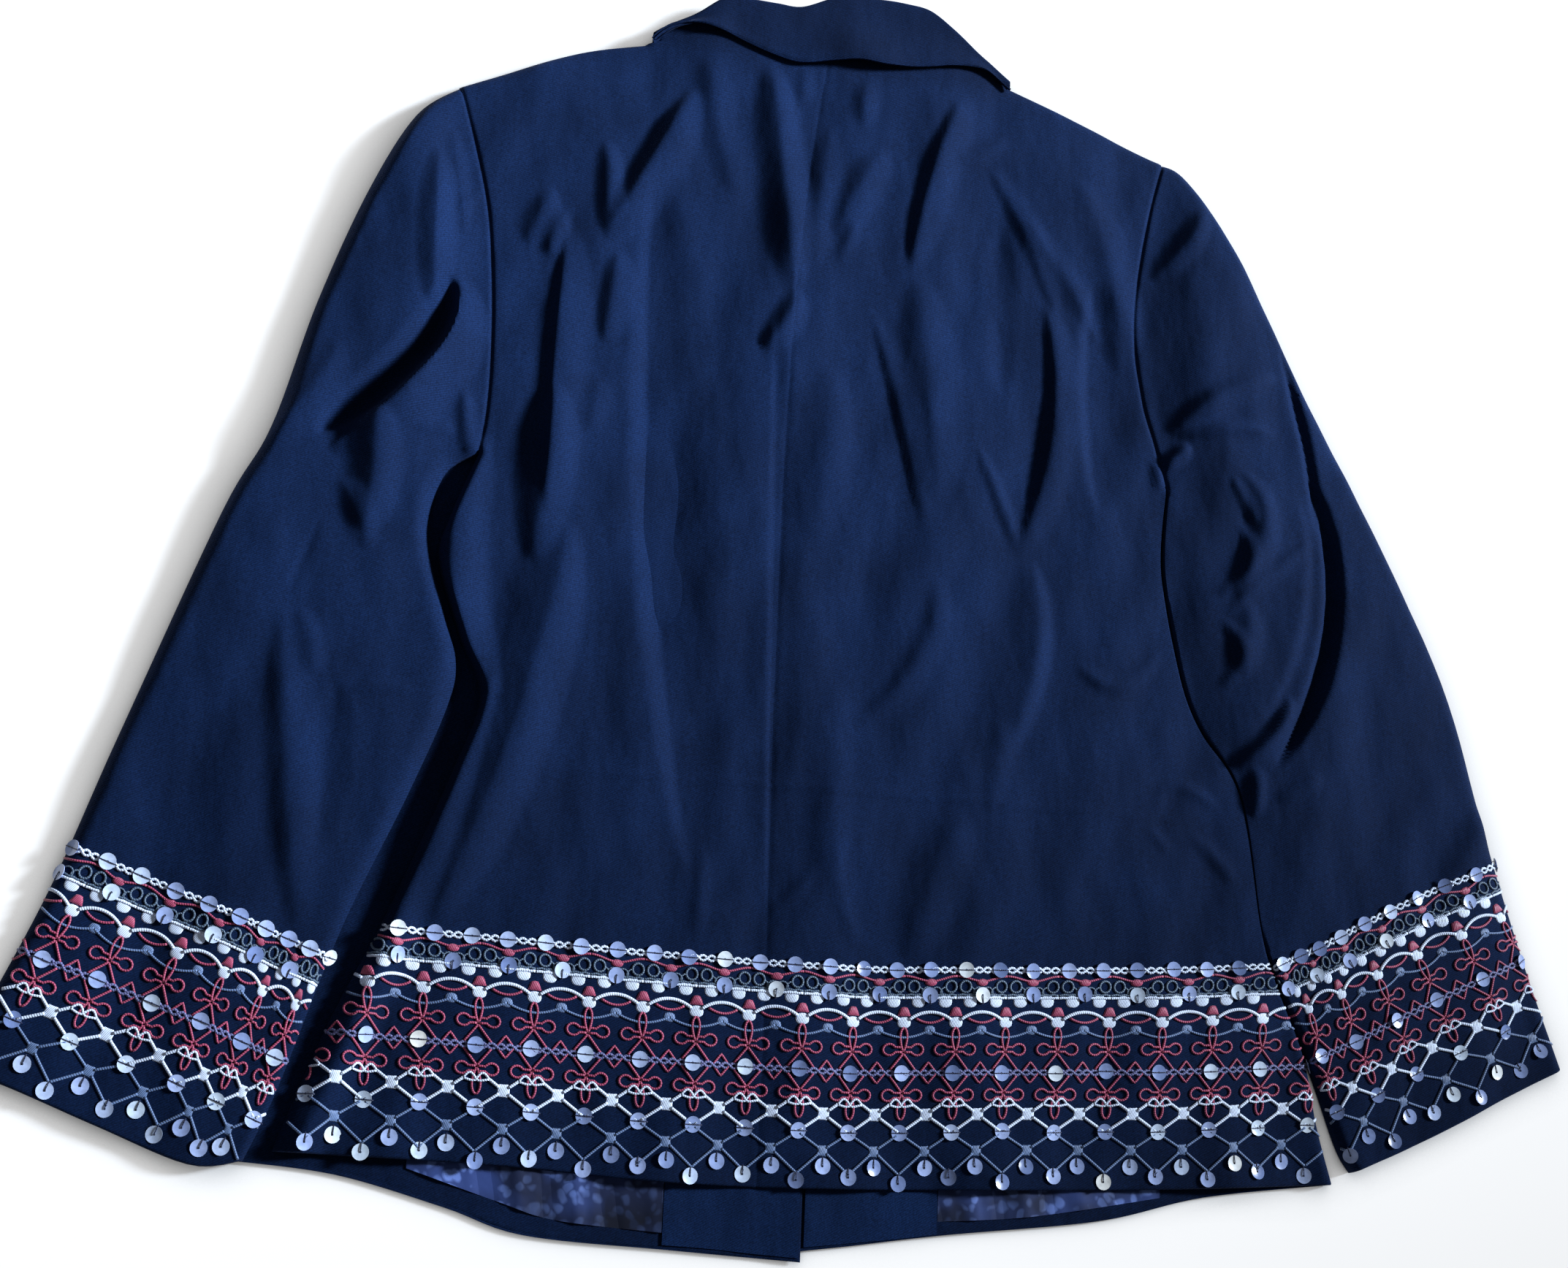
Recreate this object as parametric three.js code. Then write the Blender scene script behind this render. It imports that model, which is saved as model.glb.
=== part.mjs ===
// A woman's tailored jacket, laid flat on its fronts with its back up. Millimetres, +Z up, collar towards +Y.
// Each piece of the cut is one closed mesh. The outlines below are measured from the foot of the centre back,
// and the whole jacket is then moved so that its footprint is centred on the origin.
import * as THREE from "three";

// ---- driving sizes
const FOOTPRINT_MIDDLE = { x: 18.5, y: 323.5 }; // middle of the laid jacket, from the foot of the centre back
const BACK_WALL = 2.4; // coat cloth with its lining
const FRONT_WALL = 2.2; // coat cloth, interfacing and the thread border on its face
const SLEEVE_WALL = 2.2;
const UNDER_SLEEVE_WALL = 1.8;
const LAPEL_WALL = 1.5;
const INSIDE_LAYER_WALL = 0.8; // a facing or lining strip on the inside of a front
const COLLAR_WALL = 2.0;
const SEAM_GAP = 0.3;
const HEM_HEIGHT = 6.4; // top of the back at its hem
const BODY_HEIGHT = 8.4; // top of the back over the waist
const SHOULDER_RISE = 3.0; // what the shoulder seams and the collar stand add
const SLEEVE_RISE = 4.5; // how far a sleeve stands above the body
const SLEEVE_DOME = 3.5;
const CUFF_HEIGHT = 8.5;
const COLLAR_TOP = 15.0; // top of the fall at the centre back
const COLLAR_END_DROP = 4.0; // how far the collar sinks where it turns to the fronts
const SHOULDER_ROLL = 7;
const CAP_START = 10; // the sleeve's cap starts this far below the shoulder point
const FLAP_UNDER_SLEEVE = 8; // how far the side of the left front reaches under the sleeve
const LAPEL_BAND = { inner: 115, outer: 140, top: 300, foot: 270 }; // where a front lies on its lapel

// ---- outlines: x to the wearer's right, y to the collar, roll is the radius of the turned edge
const LEFT_SHOULDER = [
  { x: -217, y: 592 },
  { x: -200, y: 601 },
  { x: -150, y: 627 },
  { x: -112, y: 639 },
];
const RIGHT_SHOULDER = [
  { x: 212, y: 614 },
  { x: 200, y: 618 },
  { x: 150, y: 637 },
  { x: 114, y: 649 },
];
const LEFT_NECK = [
  { x: -112, y: 639 },
  { x: -60, y: 656 },
  { x: 0, y: 662 },
];
const RIGHT_NECK = [
  { x: 114, y: 649 },
  { x: 60, y: 664 },
  { x: 0, y: 662 },
];
const LEFT_ARMHOLE = [
  { x: -217, y: 592 },
  { x: -205, y: 555 },
  { x: -194, y: 510 },
  { x: -188, y: 450 },
  { x: -187, y: 400 },
  { x: -190, y: 372 },
];
const RIGHT_ARMHOLE = [
  { x: 212, y: 614 },
  { x: 202, y: 575 },
  { x: 192, y: 505 },
  { x: 197, y: 455 },
  { x: 205, y: 425 },
  { x: 212, y: 400 },
];
const CENTRE_BACK = [
  { x: 0, y: 662 },
  { x: -12, y: 560 },
  { x: -18, y: 460 },
  { x: -19, y: 275 },
  { x: -18, y: 130 },
  { x: -18, y: -7 },
];
const LEFT_SIDE = [
  { x: -190, y: 372, roll: 5 },
  { x: -199, y: 330, roll: 4 },
  { x: -198, y: 302, roll: 4 },
  { x: -184, y: 262, roll: 4 },
  { x: -177, y: 238, roll: 4 },
  { x: -189, y: 198, roll: 4 },
  { x: -204, y: 155, roll: 4 },
  { x: -220, y: 112, roll: 4 },
  { x: -240, y: 65, roll: 4 },
  { x: -262, y: 0, roll: 4 },
];
const RIGHT_SIDE = [
  { x: 212, y: 400, roll: 5 },
  { x: 208, y: 355, roll: 6 },
  { x: 212, y: 325, roll: 6 },
  { x: 221, y: 282, roll: 6 },
  { x: 233, y: 255, roll: 4 },
  { x: 252, y: 228, roll: 2 },
  { x: 259, y: 200, roll: 2 },
  { x: 265, y: 150, roll: 2 },
  { x: 272, y: 123, roll: 4 },
  { x: 290, y: 80, roll: 6 },
  { x: 298, y: 40, roll: 6 },
  { x: 306, y: 8, roll: 6 },
];
const LEFT_BACK_HEM = [
  { x: -262, y: 0 },
  { x: -150, y: -2 },
  { x: -80, y: -6 },
  { x: -18, y: -7 },
];
const RIGHT_BACK_HEM = [
  { x: 306, y: 8 },
  { x: 200, y: 1 },
  { x: 60, y: -5 },
  { x: -18, y: -7 },
];
const LEFT_SLEEVE_INNER = [
  { x: -190, y: 372, roll: 4 },
  { x: -206, y: 360, roll: 9 },
  { x: -213, y: 325, roll: 9 },
  { x: -200, y: 280, roll: 9 },
  { x: -192, y: 255, roll: 9 },
  { x: -195, y: 230, roll: 10 },
  { x: -212, y: 180, roll: 10 },
  { x: -238, y: 112, roll: 9 },
  { x: -262, y: 30, roll: 7 },
  { x: -275, y: -5, roll: 6 },
];
const LEFT_SLEEVE_OUTER = [
  { x: -217, y: 592, roll: 7 },
  { x: -240, y: 570, roll: 8 },
  { x: -262, y: 520, roll: 9 },
  { x: -283, y: 450, roll: 9 },
  { x: -300, y: 375, roll: 9 },
  { x: -320, y: 325, roll: 9 },
  { x: -358, y: 200, roll: 9 },
  { x: -383, y: 115, roll: 8 },
  { x: -415, y: 32, roll: 6 },
];
const LEFT_CUFF = [
  { x: -275, y: -5 },
  { x: -300, y: -8 },
  { x: -345, y: 8 },
  { x: -390, y: 25 },
  { x: -415, y: 32 },
];
const RIGHT_SLEEVE_INNER = [
  { x: 214.5, y: 399, roll: 5 },
  { x: 211, y: 355, roll: 6 },
  { x: 215, y: 325, roll: 6 },
  { x: 224, y: 282, roll: 6 },
  { x: 235.5, y: 256, roll: 4 },
  { x: 253.5, y: 229, roll: 2 },
  { x: 260, y: 200, roll: 2 },
  { x: 266, y: 150, roll: 2 },
  { x: 273.5, y: 123, roll: 4 },
  { x: 295, y: 70, roll: 7 },
  { x: 310, y: 28, roll: 6 },
  { x: 318, y: 15, roll: 6 },
];
const RIGHT_SLEEVE_OUTER = [
  { x: 212, y: 614, roll: 7 },
  { x: 230, y: 604, roll: 8 },
  { x: 265, y: 550, roll: 9 },
  { x: 300, y: 477, roll: 9 },
  { x: 340, y: 400, roll: 9 },
  { x: 387, y: 300, roll: 9 },
  { x: 411, y: 210, roll: 9 },
  { x: 432, y: 140, roll: 8 },
  { x: 452, y: 78, roll: 6 },
];
const RIGHT_CUFF = [
  { x: 318, y: 15 },
  { x: 362, y: 34 },
  { x: 408, y: 57 },
  { x: 452, y: 78 },
];
const LEFT_FRONT_EDGE = [
  { x: -112, y: 639 },
  { x: -74, y: 540 },
  { x: -40, y: 450 },
  { x: -8, y: 368 },
  { x: 4, y: 336 },
  { x: 7, y: 322 },
  { x: 7, y: 308 },
  { x: 7, y: 150 },
  { x: 7, y: -43 },
];
const RIGHT_FRONT_EDGE = [
  { x: 114, y: 649 },
  { x: 80, y: 540 },
  { x: 48, y: 450 },
  { x: 20, y: 368 },
  { x: 10.5, y: 336 },
  { x: 7.8, y: 322 },
  { x: 7.8, y: 308 },
  { x: 7.8, y: 150 },
  { x: 7.8, y: -38 },
];
const LEFT_FRONT_HEM = [
  { x: -283, y: -3 },
  { x: -230, y: -8 },
  { x: -175, y: -22 },
  { x: -135, y: -34 },
  { x: -60, y: -39 },
  { x: 7, y: -43 },
];
const RIGHT_FRONT_HEM = [
  { x: 305, y: 5 },
  { x: 230, y: -4 },
  { x: 170, y: -18 },
  { x: 80, y: -28 },
  { x: 7.8, y: -38 },
];

// ---- the largest folds: each crest runs from (x0, y0) by way of (x1, y1) to (x2, y2), drawn downwards.
// rise is its height, steep the width of the flank to its left and gentle that of the flank to its right.
const FOLDS = [
  { x0: -150, y0: 505, x1: -153, y1: 430, x2: -152, y2: 345, rise: 6, steep: 16, gentle: 22 },
  { x0: -137, y0: 325, x1: -152, y1: 250, x2: -178, y2: 125, rise: 6, steep: 22, gentle: 26 },
  { x0: -84, y0: 612, x1: -110, y1: 560, x2: -130, y2: 420, rise: 6, steep: 14, gentle: 24 },
  { x0: -88, y0: 560, x1: -78, y1: 400, x2: -50, y2: 215, rise: -3, steep: 22, gentle: 22 },
  { x0: -38, y0: 635, x1: -22, y1: 565, x2: -20, y2: 460, rise: 5, steep: 20, gentle: 16 },
  { x0: 26, y0: 635, x1: 22, y1: 580, x2: 0, y2: 520, rise: 4, steep: 16, gentle: 20 },
  { x0: 84, y0: 638, x1: 58, y1: 570, x2: 50, y2: 490, rise: 6, steep: 14, gentle: 22 },
  { x0: 60, y0: 510, x1: 68, y1: 430, x2: 74, y2: 350, rise: 4, steep: 20, gentle: 22 },
  { x0: 136, y0: 508, x1: 142, y1: 430, x2: 120, y2: 345, rise: 6, steep: 14, gentle: 20 },
  { x0: 128, y0: 342, x1: 134, y1: 290, x2: 116, y2: 240, rise: 4, steep: 14, gentle: 18 },
  { x0: 155, y0: 588, x1: 180, y1: 500, x2: 170, y2: 395, rise: 4, steep: 20, gentle: 16 },
  { x0: -10, y0: 450, x1: -12, y1: 300, x2: -10, y2: 140, rise: 2, steep: 14, gentle: 22 },
  { x0: 90, y0: 200, x1: 78, y1: 155, x2: 68, y2: 108, rise: 3.5, steep: 18, gentle: 20 },
  { x0: 150, y0: 290, x1: 182, y1: 279, x2: 206, y2: 300, rise: 2.5, steep: 14, gentle: 14 },
  { x0: -184, y0: 380, x1: -193, y1: 305, x2: -172, y2: 236, rise: 4, steep: 12, gentle: 20 },
  { x0: -171, y0: 244, x1: -200, y1: 150, x2: -254, y2: 2, rise: 4, steep: 12, gentle: 22 },
  { x0: -196, y0: 470, x1: -214, y1: 412, x2: -262, y2: 372, rise: 7, steep: 16, gentle: 24 },
  { x0: -226, y0: 548, x1: -222, y1: 500, x2: -220, y2: 445, rise: 4, steep: 14, gentle: 16 },
  { x0: -268, y0: 425, x1: -285, y1: 388, x2: -306, y2: 360, rise: 3, steep: 14, gentle: 16 },
  { x0: -276, y0: 280, x1: -270, y1: 190, x2: -256, y2: 104, rise: 4, steep: 16, gentle: 18 },
  { x0: 294, y0: 500, x1: 316, y1: 372, x2: 282, y2: 236, rise: -8, steep: 13, gentle: 13 },
  { x0: 262, y0: 478, x1: 232, y1: 455, x2: 208, y2: 420, rise: 4, steep: 14, gentle: 16 },
  { x0: 250, y0: 415, x1: 264, y1: 380, x2: 252, y2: 330, rise: 4, steep: 16, gentle: 16 },
  { x0: 284, y0: 282, x1: 272, y1: 256, x2: 248, y2: 238, rise: 3, steep: 14, gentle: 14 },
  { x0: 240, y0: 585, x1: 224, y1: 560, x2: 203, y2: 535, rise: 3, steep: 14, gentle: 14 },
  { x0: 412, y0: 228, x1: 394, y1: 200, x2: 376, y2: 170, rise: 3, steep: 14, gentle: 16 },
];

// ---- mesh density
const EDGE_STEPS = [0, 1.4, 4, 9]; // distances of the first rows from a turned edge
const ARMHOLE_ROWS = 8;
const SIDE_ROWS = 21;
const BACK_COLUMNS = 15;
const SLEEVE_COLUMNS = 7;
const UNDER_ARMHOLE_ROWS = 5;
const UNDER_SIDE_ROWS = 16;

// ---- small mathematics
const clamp = (value) => Math.min(1, Math.max(0, value));
const smooth = (from, to, value) => {
  const part = clamp((value - from) / (to - from));
  return part * part * (3 - 2 * part);
};
const mix = (a, b, part) => a + (b - a) * part;
const even = (count) => Array.from({ length: count + 1 }, (_, i) => i / count);

// A smooth line through the rows of a table, with its samples spaced by length.
function lineThrough(rows) {
  const SAMPLES_PER_SPAN = 16;
  const at = (i) => rows[Math.min(rows.length - 1, Math.max(0, i))];
  const spline = (a, b, c, d, t) =>
    0.5 * (2 * b + (c - a) * t + (2 * a - 5 * b + 4 * c - d) * t * t + (3 * b - a - 3 * c + d) * t * t * t);
  const samples = [];
  for (let i = 0; i < rows.length - 1; i += 1) {
    const last = i === rows.length - 2 ? 1 : 0;
    for (let k = 0; k < SAMPLES_PER_SPAN + last; k += 1) {
      const t = k / SAMPLES_PER_SPAN;
      samples.push({
        x: spline(at(i - 1).x, at(i).x, at(i + 1).x, at(i + 2).x, t),
        y: spline(at(i - 1).y, at(i).y, at(i + 1).y, at(i + 2).y, t),
        roll: mix(at(i).roll ?? 0, at(i + 1).roll ?? 0, t),
      });
    }
  }
  let length = 0;
  samples.forEach((point, i) => {
    if (i) length += Math.hypot(point.x - samples[i - 1].x, point.y - samples[i - 1].y);
    point.along = length;
  });
  return { samples, length };
}

// The point at a part (0 to 1) of a line's length.
function pointOn(line, part) {
  const wanted = clamp(part) * line.length;
  let k = line.samples.findIndex((point) => point.along >= wanted);
  k = Math.max(1, k);
  const a = line.samples[k - 1];
  const b = line.samples[k];
  const t = clamp((wanted - a.along) / (b.along - a.along));
  return { x: mix(a.x, b.x, t), y: mix(a.y, b.y, t), roll: mix(a.roll, b.roll, t) };
}

// How far a place lies from a line, with the roll and the direction of the line there.
function nearest(line, x, y) {
  let best = { distance: Infinity };
  for (let k = 1; k < line.samples.length; k += 1) {
    const a = line.samples[k - 1];
    const b = line.samples[k];
    const dx = b.x - a.x;
    const dy = b.y - a.y;
    const span = dx * dx + dy * dy || 1;
    const t = clamp(((x - a.x) * dx + (y - a.y) * dy) / span);
    const distance = Math.hypot(x - a.x - dx * t, y - a.y - dy * t);
    if (distance < best.distance) {
      const side = Math.sign(dx * (y - a.y) - dy * (x - a.x)) || 1;
      best = { distance, side, roll: mix(a.roll, b.roll, t), part: mix(a.along, b.along, t) / line.length };
    }
  }
  return best;
}

const distanceTo = (line, x, y) => nearest(line, x, y).distance;
const shifted = (rows, dx) => rows.map((row) => ({ ...row, x: row.x + dx }));

// ---- the lines of the cut
// The right front reaches the sleeve where the two lie side by side, and follows the back below that.
const TOUCHING_ROWS = 8;
const RIGHT_FRONT_SIDE = [
  ...shifted(RIGHT_SLEEVE_INNER.slice(0, TOUCHING_ROWS), -1.6),
  ...shifted(RIGHT_SIDE.slice(TOUCHING_ROWS), -0.5),
];
const LINES = {
  left: {
    shoulder: lineThrough(LEFT_SHOULDER),
    neck: lineThrough(LEFT_NECK),
    armhole: lineThrough(LEFT_ARMHOLE),
    side: lineThrough(LEFT_SIDE),
    hem: lineThrough(LEFT_BACK_HEM),
    sleeveInner: lineThrough(LEFT_SLEEVE_INNER),
    sleeveOuter: lineThrough(LEFT_SLEEVE_OUTER),
    cuff: lineThrough(LEFT_CUFF),
    frontEdge: lineThrough(LEFT_FRONT_EDGE),
    frontSide: lineThrough(shifted(LEFT_SLEEVE_INNER, -FLAP_UNDER_SLEEVE)),
    frontHem: lineThrough(LEFT_FRONT_HEM),
  },
  right: {
    shoulder: lineThrough(RIGHT_SHOULDER),
    neck: lineThrough(RIGHT_NECK),
    armhole: lineThrough(RIGHT_ARMHOLE),
    side: lineThrough(RIGHT_SIDE),
    hem: lineThrough(RIGHT_BACK_HEM),
    sleeveInner: lineThrough(RIGHT_SLEEVE_INNER),
    sleeveOuter: lineThrough(RIGHT_SLEEVE_OUTER),
    cuff: lineThrough(RIGHT_CUFF),
    frontEdge: lineThrough(RIGHT_FRONT_EDGE),
    frontSide: lineThrough(RIGHT_FRONT_SIDE),
    frontHem: lineThrough(RIGHT_FRONT_HEM),
  },
};
const CENTRE_BACK_LINE = lineThrough(CENTRE_BACK);

// A fold's crest as a line: a curve that passes through its middle point.
const FOLD_CRESTS = FOLDS.map((fold) => {
  const controlX = 2 * fold.x1 - (fold.x0 + fold.x2) / 2;
  const controlY = 2 * fold.y1 - (fold.y0 + fold.y2) / 2;
  const samples = even(10).map((t) => ({
    x: (1 - t) ** 2 * fold.x0 + 2 * t * (1 - t) * controlX + t * t * fold.x2,
    y: (1 - t) ** 2 * fold.y0 + 2 * t * (1 - t) * controlY + t * t * fold.y2,
    roll: 0,
  }));
  let length = 0;
  samples.forEach((point, i) => {
    if (i) length += Math.hypot(point.x - samples[i - 1].x, point.y - samples[i - 1].y);
    point.along = length;
  });
  return { ...fold, line: { samples, length } };
});

// ---- heights
// What the folds add at a place. A crest falls off sharply to its left and softly to its right.
function foldRise(x, y) {
  return FOLD_CRESTS.reduce((sum, fold) => {
    const found = nearest(fold.line, x, y);
    const flank = found.side < 0 ? fold.steep : fold.gentle;
    const across = found.distance / flank;
    if (across >= 1) return sum;
    const shape = found.side < 0 ? (1 - across) ** 2 * (1 + across) : (1 - across * across) ** 2;
    return sum + fold.rise * shape * (1 - (2 * found.part - 1) ** 4);
  }, 0);
}

// The body's cloth sinks beside the neck, where the collar turns to the fronts.
const neckDrop = (x) => COLLAR_END_DROP * smooth(70, 112, Math.abs(x - 2));

function bodyBase(x, y) {
  const low = mix(HEM_HEIGHT, BODY_HEIGHT, smooth(0, 70, y));
  return low + SHOULDER_RISE * smooth(250, 560, y) - neckDrop(x) * smooth(590, 636, y);
}

// A front is lifted where it lies on its lapel.
function frontLift(side, x, y, spare = 0) {
  const toEdge = distanceTo(LINES[side].frontEdge, x, y);
  const across = 1 - smooth(LAPEL_BAND.inner + spare, LAPEL_BAND.outer + spare, toEdge);
  return (LAPEL_WALL + SEAM_GAP) * across * smooth(LAPEL_BAND.foot - spare, LAPEL_BAND.top - spare, y);
}

// The lowest place that the back's turned edge may reach: just above the front.
const backRest = (side, x, y) => FRONT_WALL + SEAM_GAP + frontLift(side, x, y, 10);

// The height of a sleeve's under side: the left one rests on the flap of the front along its inner edge.
function underSleeveFoot(side, x, y) {
  if (side === "right") return 0;
  const inward = distanceTo(LINES.left.sleeveInner, x, y);
  const lapped = Math.min(inward, distanceTo(LINES.left.armhole, x, y));
  return (FRONT_WALL + SEAM_GAP) * (1 - smooth(FLAP_UNDER_SLEEVE + 4, 36, lapped)) * smooth(400, 365, y);
}

const sleeveRest = (side, x, y) => underSleeveFoot(side, x, y) + UNDER_SLEEVE_WALL + SEAM_GAP;

// A turned edge: a quarter of an ellipse from the rest height up to the surface.
function rolled(rest, top, distance, radius) {
  const inward = 1 - clamp(distance / Math.max(radius, 0.5));
  return rest + (top - rest) * Math.sqrt(1 - inward * inward);
}

function backTop(side, x, y, wall, upright) {
  const lines = LINES[side];
  const collarShade = smooth(644, 622, y);
  const top = bodyBase(x, y) + foldRise(x, y) * collarShade;
  const rest = backRest(side, x, y) + wall * (1 - upright);
  const flank = nearest(lines.side, x, y);
  const shoulder = distanceTo(lines.shoulder, x, y);
  const atSide = rolled(rest, top, flank.distance, flank.roll);
  const atShoulder = rolled(rest, top, shoulder, SHOULDER_ROLL);
  return Math.min(atSide, atShoulder);
}

function sleeveTop(side, x, y, wall, upright) {
  const lines = LINES[side];
  const inner = nearest(lines.sleeveInner, x, y);
  const outer = nearest(lines.sleeveOuter, x, y);
  const seam = distanceTo(lines.armhole, x, y);
  const cuff = distanceTo(lines.cuff, x, y);
  const across = Math.min(inner.distance, seam) / (Math.min(inner.distance, seam) + outer.distance + 0.01);
  const away = smooth(0, 45, seam);
  const stand = bodyBase(x, y) + away * (SLEEVE_RISE * smooth(60, 260, cuff) + SLEEVE_DOME * 4 * across * (1 - across));
  const top = mix(CUFF_HEIGHT, stand, smooth(0, 90, cuff)) + foldRise(x, y);
  const rest = sleeveRest(side, x, y) + wall * (1 - upright);
  const atInner = rolled(rest, top, inner.distance, inner.roll);
  const atOuter = rolled(rest, top, outer.distance, outer.roll);
  return Math.min(atInner, atOuter);
}

// ---- from outlines to meshes
// A net of places between four edges. rows and columns are parts of the edges, 0 to 1.
function netBetween({ left, right, top, bottom, columns, rows }) {
  return rows.map((v, i) =>
    columns.map((u, j) => {
      const place = {};
      for (const axis of ["x", "y"]) {
        const across = mix(left[i][axis], right[i][axis], u);
        const above = top[j][axis] - mix(top[0][axis], top[top.length - 1][axis], u);
        const below = bottom[j][axis] - mix(bottom[0][axis], bottom[bottom.length - 1][axis], u);
        place[axis] = across + (1 - v) * above + v * below;
      }
      return place;
    }),
  );
}

// A closed mesh between an upper net of points and the lower net of the same size, its faces turned outwards.
function closedMesh(name, upper, lower, material) {
  const rows = upper.length;
  const columns = upper[0].length;
  const points = [...upper.flat(), ...lower.flat()];
  const top = (i, j) => i * columns + j;
  const foot = (i, j) => rows * columns + i * columns + j;
  const faces = [];
  const quad = (a, b, c, d) => faces.push([a, b, c], [a, c, d]);
  for (let i = 0; i < rows - 1; i += 1) {
    for (let j = 0; j < columns - 1; j += 1) {
      quad(top(i, j), top(i + 1, j), top(i + 1, j + 1), top(i, j + 1));
      quad(foot(i, j), foot(i, j + 1), foot(i + 1, j + 1), foot(i + 1, j));
    }
    quad(top(i, 0), foot(i, 0), foot(i + 1, 0), top(i + 1, 0));
    quad(top(i + 1, columns - 1), foot(i + 1, columns - 1), foot(i, columns - 1), top(i, columns - 1));
  }
  for (let j = 0; j < columns - 1; j += 1) {
    quad(top(0, j + 1), foot(0, j + 1), foot(0, j), top(0, j));
    quad(top(rows - 1, j), foot(rows - 1, j), foot(rows - 1, j + 1), top(rows - 1, j + 1));
  }
  const corner = (index) => new THREE.Vector3(points[index].x, points[index].y, points[index].z);
  const volume = faces.reduce((sum, [a, b, c]) => sum + corner(a).dot(corner(b).cross(corner(c))), 0);
  const order = faces.flatMap(([a, b, c]) => (volume < 0 ? [a, c, b] : [a, b, c]));
  const geometry = new THREE.BufferGeometry();
  const values = points.flatMap((point) => [point.x, point.y, point.z]);
  geometry.setAttribute("position", new THREE.Float32BufferAttribute(values, 3));
  geometry.setIndex(order);
  geometry.computeVertexNormals();
  const mesh = new THREE.Mesh(geometry, material);
  mesh.name = name;
  return mesh;
}

// The inner net of a wall: each point moved in by the wall along the surface's normal,
// or straight down where upright is 0, which keeps a seam's two edges face to face.
function innerNet(outer, wall, uprightAt, restAt, mirrored) {
  const rows = outer.length;
  const columns = outer[0].length;
  const vector = (a, b) => new THREE.Vector3(b.x - a.x, b.y - a.y, b.z - a.z);
  return outer.map((row, i) =>
    row.map((point, j) => {
      const along = vector(outer[Math.max(0, i - 1)][j], outer[Math.min(rows - 1, i + 1)][j]);
      const across = vector(row[Math.max(0, j - 1)], row[Math.min(columns - 1, j + 1)]);
      const normal = along.cross(across).normalize();
      if (mirrored) normal.negate();
      const direction = new THREE.Vector3(0, 0, 1).lerp(normal, uprightAt(point.x, point.y)).normalize();
      const z = Math.max(restAt(point.x, point.y), point.z - direction.z * wall);
      return { x: point.x - direction.x * wall, y: point.y - direction.y * wall, z };
    }),
  );
}

// Parts of an edge: short steps from its start, then even ones to its end.
function partsFrom(steps, count, length) {
  const near = steps.map((step) => step / length);
  const last = near[near.length - 1];
  return [...near, ...even(count).slice(1).map((part) => mix(last, 1, part))];
}

const partsBoth = (steps, count, length) => {
  const near = steps.map((step) => step / length);
  const last = near[near.length - 1];
  const middle = even(count).slice(1, -1).map((part) => mix(last, 1 - last, part));
  return [...near, ...middle, ...[...near].reverse().map((part) => 1 - part)];
};

// Points along the armhole and on down another line, each moved off the seam by half a gap.
function edgePoints(armhole, armholeParts, below, belowParts, gap) {
  const upper = armholeParts.map((part) => pointOn(armhole, part));
  const lower = belowParts.slice(1).map((part) => pointOn(below, part));
  return [...upper.map((point) => ({ ...point, x: point.x + gap })), ...lower];
}

// ---- materials
const navy = new THREE.MeshStandardMaterial({ color: 0x1f3160, roughness: 0.85, metalness: 0 });
const navyInside = new THREE.MeshStandardMaterial({ color: 0x1a2950, roughness: 0.85, metalness: 0 });
const satin = new THREE.MeshStandardMaterial({ color: 0x56699a, roughness: 0.35, metalness: 0 });

// ---- the back
const armholeParts = (line) => partsFrom(EDGE_STEPS, ARMHOLE_ROWS, line.length);
const BACK_ROWS = EDGE_STEPS.length - 1 + ARMHOLE_ROWS + SIDE_ROWS;
const ARMHOLE_ROW = EDGE_STEPS.length - 1 + ARMHOLE_ROWS;

// Where the rows of both halves meet the centre back: level with the armhole's rows, then even to the hem.
function centreParts() {
  const armholeFoot = 0.41;
  const upper = partsFrom(EDGE_STEPS, ARMHOLE_ROWS, CENTRE_BACK_LINE.length * armholeFoot);
  const lower = even(SIDE_ROWS).slice(1).map((part) => mix(armholeFoot, 1, part));
  return [...upper.map((part) => part * armholeFoot), ...lower];
}

function backHalf(side) {
  const lines = LINES[side];
  const mirrored = side === "right";
  const towardBody = mirrored ? -SEAM_GAP / 2 : SEAM_GAP / 2;
  const rows = centreParts();
  const width = 250;
  const columns = partsFrom(EDGE_STEPS, BACK_COLUMNS, width);
  const left = edgePoints(lines.armhole, armholeParts(lines.armhole), lines.side, even(SIDE_ROWS), towardBody);
  const right = rows.map((part) => {
    const point = pointOn(CENTRE_BACK_LINE, part);
    return { ...point, x: point.x - towardBody };
  });
  const shoulderShare = lines.shoulder.length / (lines.shoulder.length + lines.neck.length);
  const top = columns.map((part) =>
    part < shoulderShare
      ? pointOn(lines.shoulder, part / shoulderShare)
      : pointOn(lines.neck, (part - shoulderShare) / (1 - shoulderShare)),
  );
  const bottom = columns.map((part) => pointOn(lines.hem, part));
  const net = netBetween({ left, right, top, bottom, columns, rows });
  const upright = (x, y) => {
    const seams = [lines.armhole, CENTRE_BACK_LINE, lines.neck];
    return clamp(Math.min(...seams.map((line) => distanceTo(line, x, y))) / 8);
  };
  const outer = net.map((row) =>
    row.map(({ x, y }) => ({ x, y, z: backTop(side, x, y, BACK_WALL, upright(x, y)) })),
  );
  const rest = (x, y) => backRest(side, x, y);
  const inner = innerNet(outer, BACK_WALL, upright, rest, mirrored);
  return closedMesh(`back_${side}`, outer, inner, navy);
}

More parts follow.
